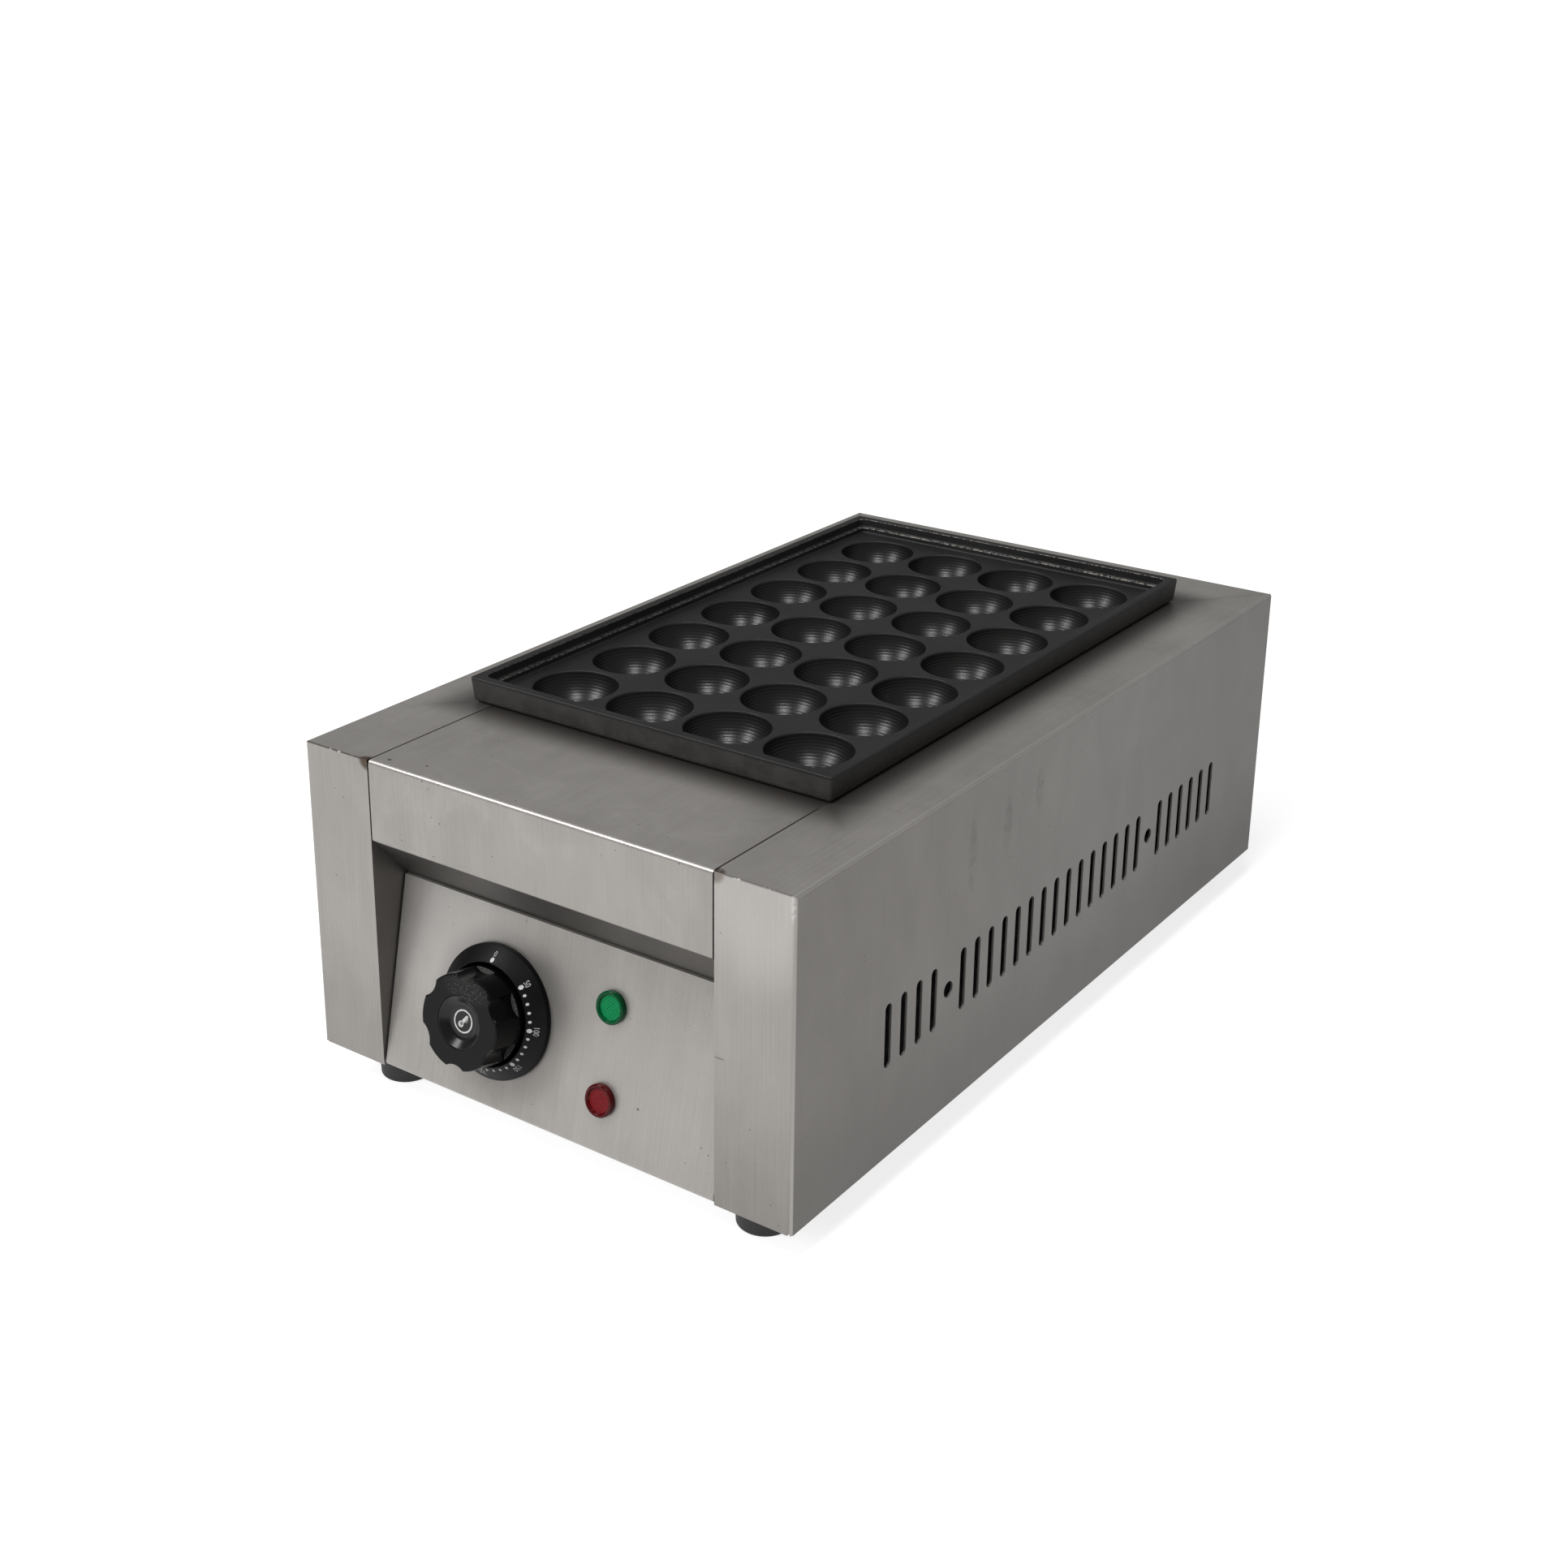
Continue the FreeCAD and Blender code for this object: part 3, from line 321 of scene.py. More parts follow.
def pan_shadow(steel):
    """Painted shadow round the foot of the casting, darkest at the foot and thinning out away
    from it.
    """
    inset, full, gone = 2.0 * MM, 1.0 * MM, 25.0 * MM
    past_x = abs(steel.x - PLATE_X) - (PLATE_HALF_X - inset)
    past_y = abs(steel.y - PLATE_Y) - (PLATE_HALF_Y - inset)
    reach = past_x.calc("MAXIMUM", past_x, past_y)
    on_top = steel.rise(steel.facing(2), 0.7, 0.9)
    return (1 - steel.rise(reach, full, gone)) * on_top


def front_marks(steel):
    """Smudges, two pits, painted shadow round the pan, painted shade on the front faces and
    painted shade on the underside of the fascia.
    """
    smudge = steel.rise(steel.noise(1.0, 4.0, 0.6, 1.2, steel.stretched(30, 46, 20)), 0.50, 0.66)
    pits = sum(steel.patch(*pit, 0.4) for pit in PITS)
    # painted shade on the underside of the fascia, a little weaker towards the right
    under = steel.rise(0 - steel.facing(2), 0.2, 0.5)
    under = under * (0.96 - 0.12 * steel.rise(steel.x, -0.09, 0.09))
    # the first mark is painted shade that darkens the front faces
    return [(front_face(steel), STEEL_SOOT_AND_SHADE, 0.09), (smudge, STEEL_BRIGHT, 0.07),
            (pits, STEEL_SOOT_AND_SHADE, 0.85), (pan_shadow(steel), STEEL_SOOT_AND_SHADE, 0.95),
            (under, STEEL_SOOT_AND_SHADE, 1.0)]


def panel_marks(steel):
    """Dried spills, darkening round the dial, a speck and a patch of painted light."""
    spill = steel.rise(steel.noise(42.0, 5.0, 0.62, 0.8), 0.50, 0.66)
    spill = spill * steel.patch(*SPILL, 0.9)
    around = steel.patch(*DIAL_DARKENING, 0.4)
    speck = steel.patch(*PANEL_SPECK, 0.3)
    # painted light that brightens the top left of the panel
    lit_patch = steel.patch(*LIT_PANEL_PATCH, 0.9)
    return [(lit_patch, STEEL_BRIGHT, 0.24), (spill, STEEL_BROWN, 0.11),
            (around, STEEL_SOOT_AND_SHADE, 0.30), (speck, STEEL_SOOT_AND_SHADE, 0.7)]


def cheek_marks(steel, sign):
    """What both side panels carry: streaks, painted shadow round the pan, painted shade inside
    the recess and on the outer side, and the ground corner.
    """
    inner = CHEEK_WIDTH - HOUSING_HALF
    streak = steel.rise(steel.noise(1.0, 3.0, 0.6, 0.3, steel.stretched(8, 120, 14)), 0.54, 0.70)
    # painted shade on the side panels' faces inside the recess
    recess_shade = steel.rise(steel.x * -sign, inner - 0.4 * MM, inner + 0.2 * MM) \
        * steel.rise(abs(steel.facing(0)), 0.7, 0.9)
    depth = steel.rise(steel.z, DECK_Z - 0.8 * MM, DECK_Z - 0.4 * MM)
    corner = depth * (1 - steel.rise(steel.y, FRONT_Y + 0.2 * MM, FRONT_Y + 0.5 * MM))
    grain = steel.noise(330.0, 3.0, 0.6)
    bright = corner * steel.rise(grain, 0.60, 0.66)
    dark = corner * (1 - steel.rise(grain, 0.58, 0.64))
    weld = steel.patch((-sign * inner, FRONT_Y, DECK_Z), WELD_REACH, 0.6) \
        * steel.rise(steel.noise(500.0, 3.0), 0.24, 0.38)
    # painted shade on the outer side, stronger towards the rear and the bottom
    rearward = steel.rise(steel.y, 0.0, 0.22)
    low = 1 - steel.rise(steel.z, 0.02, 0.09)
    outside = steel.rise(steel.facing(0) * sign, 0.90, 0.995)
    side_shade = (0.55 + 0.17 * rearward + 0.14 * low) * outside
    return [(streak, STEEL_SOOT_AND_SHADE, 0.04), (pan_shadow(steel), STEEL_SOOT_AND_SHADE, 0.85),
            (recess_shade, STEEL_SOOT_AND_SHADE, 0.80), (side_shade, STEEL_SOOT_AND_SHADE, 1.0), (dark, STEEL_SOOT_AND_SHADE, 0.85),
            (bright, STEEL_BRIGHT, 0.7), (weld, STEEL_WELD, 0.95)]


def right_marks(steel):
    """Wipes down the side, and in front a painted sheen near the top, painted shade, darkening
    towards the bottom, a bright speckled streak at the edge and a scratch.
    """
    wipes = sum(steel.patch(*wipe, 0.9) for wipe in WIPES) \
        * steel.rise(steel.noise(160.0, 4.0, 0.7), 0.38, 0.62)
    front = front_face(steel)
    # painted sheen near the top of the front
    sheen = steel.patch(*SHEEN_PATCH, 0.95) * front
    # darker towards the bottom of the front
    lower_darkening = (1 - steel.rise(steel.z, 0.0, 0.13)) * front
    edge_streak = steel.patch(*EDGE_STREAK, 0.8) * steel.rise(steel.noise(700.0, 2.0), 0.38, 0.55)
    scratch = steel.patch(*SCRATCH, 0.5)
    # the front mark is painted shade on the front face
    return cheek_marks(steel, 1) + [
        (wipes, STEEL_SOOT_AND_SHADE, 0.30), (front, STEEL_SOOT_AND_SHADE, 0.04), (sheen, STEEL_BRIGHT, 0.24),
        (lower_darkening, STEEL_SOOT_AND_SHADE, 0.40), (edge_streak, STEEL_BRIGHT, 0.5), (scratch, STEEL_BROWN, 0.6)]


def left_marks(steel):
    """Painted shade on the front and darkening towards its bottom."""
    front = front_face(steel)
    lower_darkening = (1 - steel.rise(steel.z, 0.0, 0.09)) * front
    # painted shade on the front face, then darker towards the bottom
    return cheek_marks(steel, -1) + [(front, STEEL_SOOT_AND_SHADE, 0.10), (lower_darkening, STEEL_SOOT_AND_SHADE, 0.22)]


def rear_marks(steel):
    """Only the film of the pan."""
    return [(pan_shadow(steel), STEEL_SOOT_AND_SHADE, 0.85)]


def zinc_sheet(name):
    """Dull zinc-coated sheet with its spangle."""
    dull, clean = (0.30, 0.31, 0.32), (0.50, 0.51, 0.52)
    zinc = Finish(name, {"Metallic": 0.8})
    spangle = zinc.cells(90.0, output="Color")
    grey = zinc.node("ShaderNodeRGBToBW", {}, {0: spangle})
    zinc.set("Base Color", zinc.mix(dull, clean, grey))
    zinc.set("Roughness", 0.42 + grey * 0.2)
    return zinc.material


def turned_metal(name, dark, light):
    """Machined or plated metal with faint tool marks."""
    metal = Finish(name, {"Metallic": 0.95})
    turning = metal.noise(1.0, 2.0, vector=metal.stretched(60, 2400, 60))
    patina = metal.noise(160.0, 3.0)
    metal.set("Base Color", metal.mix(dark, light, metal.rise(patina, 0.3, 0.7)))
    metal.set("Roughness", 0.3 + turning * 0.12)
    metal.bump(turning, 0.01 * MM)
    return metal.material


def heated_sheath(name):
    """Heater sheath, browned and greyed by heat."""
    burnt, browned = (0.05, 0.045, 0.045), (0.20, 0.15, 0.11)
    sheath = Finish(name, {"Metallic": 0.7})
    scale = sheath.noise(60.0, 4.0, 0.6)
    sheath.set("Base Color", sheath.mix(burnt, browned, sheath.rise(scale, 0.35, 0.65)))
    sheath.set("Roughness", 0.5 + scale * 0.2)
    sheath.bump(sheath.noise(900.0, 2.0), 0.02 * MM)
    return sheath.material


def moulded(name, colour, roughness, grain=900.0, depth=0.01, dusty=(0.06, 0.06, 0.06),
            gloss=0.5):
    """Moulded plastic, phenolic or rubber with some dust and a skin depth mm deep."""
    skin = Finish(name, {"Specular IOR Level": gloss})
    dust = skin.rise(skin.noise(70.0, 5.0, 0.6), 0.48, 0.75)
    skin.set("Base Color", skin.mix(colour, dusty, dust * 0.35))
    skin.set("Roughness", roughness + dust * 0.12)
    skin.bump(skin.noise(grain, 2.0), depth * MM)
    return skin.material


def glazed_ceramic(name):
    """White ceramic with a soft glaze."""
    aged, clean = (0.66, 0.63, 0.57), (0.78, 0.76, 0.71)
    glaze = Finish(name, {"Coat Weight": 0.3, "Coat Roughness": 0.15})
    shade = glaze.noise(120.0, 3.0)
    glaze.set("Base Color", glaze.mix(aged, clean, shade))
    glaze.set("Roughness", 0.35 + shade * 0.1)
    return glaze.material


def nonstick(name):
    """Black satin non-stick coating: fine speckle, turned cups, inner edges worn pale with a
    painted highlight.
    """
    thin, thick = (0.0050, 0.0050, 0.0052), (0.0100, 0.0098, 0.0098)
    cup_shade, greasy = (0.0040, 0.0038, 0.0037), (0.009, 0.008, 0.0075)
    baked_ends, baked_sides_shaded = (0.034, 0.0312, 0.0295), (0.029, 0.0275, 0.0265)
    bare_metal_and_highlight = (0.27, 0.25, 0.23)
    ring_spacing, skin, round_off = 1.5 * MM, 0.6 * MM, 2.0 * MM
    coat = Finish(name, {"Specular IOR Level": 0.42})
    u = (coat.x - (COLUMN_X[0] - PITCH / 2)) % PITCH - PITCH / 2
    v = (coat.y - (ROW_Y[0] - PITCH / 2)) % PITCH - PITCH / 2
    square = u * u + v * v
    radius = square.calc("SQRT", square)
    rings = radius.calc("ARCTAN2", radius, CUP_CENTRE_Z - coat.z) * (CUP_SPHERE / ring_spacing)
    in_cup = 1 - coat.rise(coat.z, FLAT_Z - 0.9 * MM, FLAT_Z - 0.3 * MM)
    speckle = coat.noise(1500.0, 2.0, 0.6)
    cloud = coat.noise(24.0, 4.0, 0.6)
    colour = coat.mix(thin, thick, coat.rise(cloud, 0.3, 0.7))
    grease = coat.rise(coat.noise(38.0, 4.0, 0.6), 0.5, 0.7) * in_cup
    # painted shade inside the cups
    colour = coat.mix(colour, cup_shade, in_cup * 0.8)
    colour = coat.mix(colour, greasy, grease * 0.5)
    wall_x, wall_y = PLATE_HALF_X - skin, PLATE_HALF_Y - skin
    side_x = coat.rise(abs(coat.x - PLATE_X), wall_x - round_off, wall_x)
    side_y = coat.rise(abs(coat.y - PLATE_Y), wall_y - round_off, wall_y)
    baked = coat.rise(coat.noise(110.0, 4.0, 0.6), 0.35, 0.65)
    below_rim = 1 - coat.rise(coat.z, RIM_Z - round_off, RIM_Z - skin)
    colour = coat.mix(colour, baked_ends, side_y * below_rim * (0.6 + baked * 0.4))
    # the sides take a darker copy of the baked colour: painted shade
    colour = coat.mix(colour, baked_sides_shaded, side_x * below_rim * (0.6 + baked * 0.4))
    inner = (1 - side_x) * (1 - side_y)
    edge = coat.rise(coat.noise(620.0, 3.0, 0.6), 0.42, 0.58)
    rim_edge = coat.band(coat.z, RIM_Z - 0.40 * MM, RIM_Z - 0.22 * MM,
                         RIM_Z - 0.12 * MM, RIM_Z - 0.04 * MM)
    ledge_edge = coat.band(coat.z, LEDGE_Z - 0.40 * MM, LEDGE_Z - 0.20 * MM,
                           LEDGE_Z - 0.04 * MM, LEDGE_Z + 0.06 * MM)
    back_edge = PLATE_Y + PLATE_HALF_Y
    # painted highlight: the pale edges are strongest along the back
    back = 0.35 + 0.65 * coat.rise(coat.y, back_edge - 12 * MM, back_edge - 9 * MM)
    wear_and_highlight = (rim_edge + ledge_edge) * inner * edge * back
    colour = coat.mix(colour, bare_metal_and_highlight, wear_and_highlight * 0.8)
    coat.set("Base Color", colour)
    coat.set("Roughness", 0.44 + cloud * 0.10 - in_cup * 0.19 + speckle * 0.05)
    coat.bump(speckle, 0.03 * MM)
    cut = coat.noise(1.0, 2.0, 0.6, vector=coat.stretched(40, 40, 900))
    coat.bump((rings.calc("SINE", rings * (2 * math.pi)) + cut) * in_cup, 0.018 * MM)
    return coat.material


def knob_black(name):
    """Glossy black of the knob, dusty on the upper side of its face, with dust and a painted
    highlight on the ends of its flutes.
    """
    clean, hazy = (0.0012, 0.0012, 0.0016), (0.0032, 0.0031, 0.0031)
    face_dust, flute_dust_and_sheen = (0.14, 0.14, 0.135), (0.16, 0.155, 0.15)
    black = Finish(name, {"Specular IOR Level": 0.15})
    haze = black.rise(black.noise(60.0, 5.0, 0.65), 0.45, 0.75)
    out = black.along(black.normal(), PANEL_OUT)
    stand = black.along(black.place, PANEL_OUT) - DIAL_CENTRE.dot(PANEL_OUT)
    # ends of the flutes that face out: dust and painted highlight
    lit_flute_ends = black.rise(out, 0.8, 0.95) * (1 - black.rise(stand, 13 * MM, 16 * MM))
    rub = black.noise(1.0, 3.0, 0.6, 0.0, black.stretched(160, 160, 50))
    dusty = black.patch(on_panel(2.5 * MM, 15.5 * MM, KNOB_FRONT),
                        (11 * MM, 3.5 * MM, 5.5 * MM), 0.9)
    grit = black.rise(black.noise(1500.0, 3.0, 0.7), 0.54, 0.66)
    colour = black.mix(clean, hazy, haze * 0.5)
    colour = black.mix(colour, face_dust, dusty * (0.05 + grit * 0.5))
    colour = black.mix(colour, flute_dust_and_sheen, lit_flute_ends * (0.3 + grit * 0.5))
    black.set("Base Color", colour)
    black.set("Roughness", 0.12 + haze * 0.08 + rub * 0.06 + dusty * 0.2)
    black.bump(black.noise(800.0, 2.0), 0.006 * MM)
    return black.material


def white_print(name):
    """White printing ink, slightly uneven."""
    thin, full = (0.34, 0.34, 0.335), (0.52, 0.52, 0.51)
    ink = Finish(name)
    wear = ink.noise(900.0, 3.0, 0.6)
    ink.set("Base Color", ink.mix(thin, full, ink.rise(wear, 0.3, 0.6)))
    ink.set("Roughness", 0.5 + wear * 0.1)
    return ink.material


def lens_plastic(name, centre, deep, bright):
    """Clear coloured lens: a fine diamond net in the window, a deeper rolled rim."""
    window_full, window_gone = 4.9 * MM, 5.7 * MM
    lens = Finish(name, {"Specular IOR Level": 0.16})
    offset = lens.node("ShaderNodeVectorMath", {"operation": "SUBTRACT"},
                       {0: lens.place, 1: centre})
    across, rise = lens.along(offset, PANEL_ACROSS), lens.along(offset, PANEL_UP)
    window = 1 - lens.rise(across * across + rise * rise, window_full ** 2, window_gone ** 2)
    lattice = lens.node("ShaderNodeCombineXYZ", {}, {0: across + rise, 1: across - rise})
    net = 1 - lens.rise(lens.cells(620.0, vector=lattice, randomness=0.0), 0.30, 0.55)
    depth = lens.noise(300.0, 2.0)
    lens.set("Base Color", lens.mix(deep, bright, window * (0.18 + net * 0.80 + depth * 0.2)))
    lens.set("Roughness", 0.08 + depth * 0.05)
    return lens.material


# ---------------------------------------------------------------- mesh making

# points in one cell of 5 micrometres fall together; the offset keeps round sizes off its edge
JOIN_CELLS, JOIN_OFFSET = 2e5, 0.123


class Shell:
    """Collects points and faces, joining points that fall together."""

    def __init__(self):
        self.points = []
        self.faces = []
        self.index = {}

    def point(self, x, y, z):
        key = tuple(round(value * JOIN_CELLS + JOIN_OFFSET) for value in (x, y, z))
        if key not in self.index:
            self.index[key] = len(self.points)
            self.points.append((x, y, z))
        return self.index[key]

    def face(self, corners):
        kept = [c for i, c in enumerate(corners) if c != corners[i - 1]]
        if len(kept) > 2:
            self.faces.append(kept)

    def strip(self, first, second):
        """Faces between two closed runs of points, anticlockwise seen from their front."""
        count = len(first)
        for i in range(count):
            j = (i + 1) % count
            self.face([first[i], first[j], second[j], second[i]])


def add_piece(name, points, faces, finish, body, stands_for=()):
    """A smooth piece that rides a body, in place of the nodes it stands for."""
    mesh = bpy.data.meshes.new(name)
    mesh.from_pydata([tuple(p) for p in points], [], faces)
    mesh.validate()
    mesh.materials.append(finish)
    mesh.polygons.foreach_set("use_smooth", [True] * len(mesh.polygons))
    piece = bpy.data.objects.new(name, mesh)
    bpy.context.scene.collection.objects.link(piece)
    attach(piece, body)
    if stands_for:
        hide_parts(*stands_for)
    return piece


def arc(centre_r, centre_z, radius, start, end, steps):
    """(distance, height) points of an arc; angles in degrees from +r towards +z."""
    turns = [math.radians(start + (end - start) * i / steps) for i in range(steps + 1)]
    return [(centre_r + radius * math.cos(t), centre_z + radius * math.sin(t)) for t in turns]


# ---------------------------------------------------------------- plate

CELL_RUNS = 16
CORNER_STEPS = 7
SIDE_STEPS = 24
LIP_STEPS = 4


def square_reach(turn):
    """Point of a cup's square, spaced evenly along its sides, for a turn of 0 to 1."""
    side, along = divmod(turn * 4, 1.0)
    along = 2 * along - 1
    corners = [(1, along), (-along, 1), (-1, -along), (along, -1)]
    x, y = corners[int(side) % 4]
    return x * PITCH / 2, y * PITCH / 2


def cup_profile(sphere, edge_round, top_z):
    """(radius, height) from the bottom of a cup up its side to the level top."""
    drop = CUP_CENTRE_Z - top_z
    if edge_round:
        reach = math.sqrt((sphere + edge_round) ** 2 - (drop + edge_round) ** 2)
        last = math.atan2(reach, drop + edge_round)
    else:
        reach = math.sqrt(sphere ** 2 - drop ** 2)
        last = math.atan2(reach, drop)
    angles = [last * i / SIDE_STEPS for i in range(SIDE_STEPS + 1)]
    side = [(sphere * math.sin(a), CUP_CENTRE_Z - sphere * math.cos(a)) for a in angles]
    if not edge_round:
        return side
    start = 90 + math.degrees(last)
    return side + arc(reach, top_z - edge_round, edge_round, start, 90, LIP_STEPS)[1:]


def add_cup(shell, cx, cy, sphere, edge_round, top_z, facing_up):
    """One side of a cup, out to the edge of its square of the web."""
    count = 4 * CELL_RUNS
    turns = [i / count for i in range(count)]
    angles = [math.radians(360 * turn - 45) for turn in turns]
    profile = cup_profile(sphere, edge_round, top_z)
    rings = [[shell.point(cx + r * math.cos(a), cy + r * math.sin(a), z) for a in angles]
             for r, z in profile]
    square = [square_reach(turn) for turn in turns]
    rings.append([shell.point(cx + x, cy + y, top_z) for x, y in square])
    for inner, outer in zip(rings, rings[1:]):
        if facing_up:
            shell.strip(outer, inner)
        else:
            shell.strip(inner, outer)


def plate_loop(shell, inset, z, corner):
    """Loop of points round the plate, its runs matched to the squares of the cups."""
    hx, hy = PLATE_HALF_X - inset, PLATE_HALF_Y - inset
    runs = [(1, ROWS), (2, COLUMNS), (3, ROWS), (4, COLUMNS)]
    loop = []
    for quarter, cells in runs:
        half_run = hy if quarter % 2 else hx
        offset = hx if quarter % 2 else hy
        turn = Matrix.Rotation(math.radians(90 * (quarter - 1)), 2)
        count = cells * CELL_RUNS
        for i in range(count + 1):
            along = (2 * i / count - 1) * (half_run - corner)
            loop.append(turn @ Vector((offset, along)))
        for i in range(1, CORNER_STEPS):
            a = math.radians(90 * i / CORNER_STEPS)
            loop.append(turn @ Vector((offset - corner + corner * math.cos(a),
                                       half_run - corner + corner * math.sin(a))))
    return [shell.point(PLATE_X + p.x, PLATE_Y + p.y, z) for p in loop]


def cast_plate(finish):
    """The whole casting: cups, web, ledge, rim, outer wall and underside."""
    shell = Shell()
    for x in COLUMN_X:
        for y in ROW_Y:
            add_cup(shell, x, y, CUP_SPHERE, MOUTH_ROUND, FLAT_Z, facing_up=True)
            add_cup(shell, x, y, CUP_SPHERE + CUP_WALL, 0.0, PLATE_BOTTOM, facing_up=False)
    rim, ledge, flat, draft = 4.6 * MM, 7.2 * MM, 12.5 * MM, 0.8 * MM
    fillet, ledge_lip, rim_foot = 1.0 * MM, 0.4 * MM, 0.5 * MM
    inner_lip, outer_lip, bottom_edge = 0.45 * MM, 0.7 * MM, 2.4 * MM
    # centre inset and height, radius, start and end in degrees, steps, corner of the loop
    bends = [
        (ledge + fillet, FLAT_Z + fillet, fillet, 270, 180, 4, 3.0 * MM),
        (ledge - ledge_lip, LEDGE_Z - ledge_lip, ledge_lip, 0, 90, 3, 4.0 * MM),
        (rim + rim_foot, LEDGE_Z + rim_foot, rim_foot, 270, 180, 3, 4.0 * MM),
        (rim - inner_lip, RIM_Z - inner_lip, inner_lip, 0, 90, 3, 4.2 * MM),
        (outer_lip, RIM_Z - outer_lip, outer_lip, 90, 180, 4, 1.2 * MM),
        (draft + bottom_edge, PLATE_BOTTOM + bottom_edge, bottom_edge, 180, 270, 6, 1.2 * MM)]
    profile = [(flat, FLAT_Z, 0.0)]
    for *bend, corner in bends:
        profile += [(inset, z, corner) for inset, z in arc(*bend)]
    profile += [(flat, PLATE_BOTTOM, 0.0)]
    loops = [plate_loop(shell, inset, z, corner) for inset, z, corner in profile]
    for inner, outer in zip(loops, loops[1:]):
        shell.strip(outer, inner)
    plate = add_piece("griddle_casting", shell.points, shell.faces, finish, "plate",
                      ("takoyaki_plate", "plate_cups"))
    weighted = plate.modifiers.new("even_shading", "WEIGHTED_NORMAL")
    weighted.keep_sharp = True
    return plate


# ---------------------------------------------------------------- dial, knob and lamps

def on_panel(across, up, out):
    """Point at a place on the control panel, from the dial's centre."""
    return DIAL_CENTRE + PANEL_ACROSS * across + PANEL_UP * up + PANEL_OUT * out


def clockwise(radius, degrees):
    """Place across and up the dial at a clockwise angle from straight up."""
    turn = math.radians(degrees)
    return radius * math.sin(turn), radius * math.cos(turn)


def disc(across, up, radius, count=20):
    """A flat round spot."""
    points = [(across + radius * math.cos(2 * math.pi * i / count),
               up + radius * math.sin(2 * math.pi * i / count)) for i in range(count)]
    return points, [list(range(count))]


def ring(across, up, outer, inner):
    """A flat ring."""
    count = 48
    points = []
    for radius in (inner, outer):
        points += [(across + radius * math.cos(2 * math.pi * i / count),
                    up + radius * math.sin(2 * math.pi * i / count)) for i in range(count)]
    faces = [[i, count + i, count + (i + 1) % count, (i + 1) % count] for i in range(count)]
    return points, faces


def bar(across, up, half_width, half_length, lean):
    """A straight bar with rounded ends, leaning clockwise by an angle."""
    steps = 8
    points = []
    for end in (1, -1):
        for i in range(steps + 1):
            a = math.radians(180 * i / steps)
            points.append((half_width * math.cos(a) * end,
                           end * half_length + half_width * math.sin(a) * end))
    c, s = math.cos(math.radians(lean)), math.sin(math.radians(lean))
    leaning = [(across + x * c + y * s, up - x * s + y * c) for x, y in points]
    return leaning, [list(range(len(points)))]


def digits(text, radius, degrees, height):
    """Flat outlines of a number set round the dial, its top outwards."""
    digit_share, narrowing, thinning = 0.72, 0.98, 0.03 * MM
    curve = bpy.data.curves.new("number", "FONT")
    curve.body = text
    curve.size = height / digit_share
    curve.offset = -thinning
    curve.align_x = "CENTER"
    curve.resolution_u = 4
    holder = bpy.data.objects.new("number", curve)
    mesh = bpy.data.meshes.new_from_object(holder)
    tall = max(v.co.y for v in mesh.vertices)
    points = []
    for vertex in mesh.vertices:
        turn = math.radians(degrees) + vertex.co.x * narrowing / radius
        reach = radius + vertex.co.y - tall / 2
        points.append((reach * math.sin(turn), reach * math.cos(turn)))
    faces = [list(polygon.vertices) for polygon in mesh.polygons]
    bpy.data.objects.remove(holder)
    bpy.data.curves.remove(curve)
    bpy.data.meshes.remove(mesh)
    return points, faces


def print_on(surface, shapes, name, finish, body):
    """Ink laid on a surface: each flat shape is dropped on it square to the panel."""
    thickness, lift = 0.05 * MM, 40 * MM
    points, faces = [], []
    for outline, outline_faces in shapes:
        start = len(points)
        for across, up in outline:
            above = on_panel(across, up, lift)
            hit, place, _, _ = surface.ray_cast(above, -PANEL_OUT)
            points.append(place + PANEL_OUT * thickness if hit else above)
        faces += [[start + i for i in face] for face in outline_faces]
    return add_piece(name, points, faces, finish, body)


def turned_piece(name, profile, finish, body, stands_for):
    """A piece turned about the dial's axis from (radius, distance out) points."""
    count = 160
    shell = Shell()
    rings = [[shell.point(*on_panel(*clockwise(r, 360 * i / count), out)) for i in range(count)]
             for r, out in profile]
    for lower, upper in zip(rings, rings[1:]):
        shell.strip(upper, lower)
    return add_piece(name, shell.points, shell.faces, finish, body, stands_for)


def dial_cone(finish):
    """Scale ring: a low wall, a straight cone for the scale and a rounded lip."""
    outer, bore, wall, lip = 30.2 * MM, 22.7 * MM, 2.3 * MM, 8.3 * MM
    floor, edge, round_lip, slope = 1.5 * MM, 0.7 * MM, 0.45 * MM, 48
    profile = [(outer, 0.0), (outer, wall)]
    profile += arc(outer - edge, wall, edge, 0, slope, 4)[1:]
    profile += arc(bore + round_lip, lip - round_lip, round_lip, slope, 180, 8)
    profile += [(bore, floor), (0.0, floor)]
    return turned_piece("dial_cone", profile, finish, "housing", ("dial_ring",))


def knob_dish(finish):
    """Dished disc in the knob's face, steeper towards its rim."""
    rim, depth, under, step = 11.8 * MM, 2.9 * MM, 3.6 * MM, 0.12 * MM
    floor, wall, fillet = 6.7 * MM, 38, 3.0 * MM
    round_rim, rim_drop = 0.35 * MM, 0.45 * MM
    profile = [(0.0, KNOB_FRONT - under), (rim, KNOB_FRONT - under), (rim, KNOB_FRONT - step)]
    profile += arc(rim - round_rim, KNOB_FRONT - rim_drop, round_rim, 90, 90 + wall, 4)
    profile += arc(floor, KNOB_FRONT - depth + fillet, fillet, 270 + wall, 270, 5)
    profile += [(0.0, KNOB_FRONT - depth)]
    return turned_piece("knob_dish", profile, finish, "knob", ("knob_cap",))


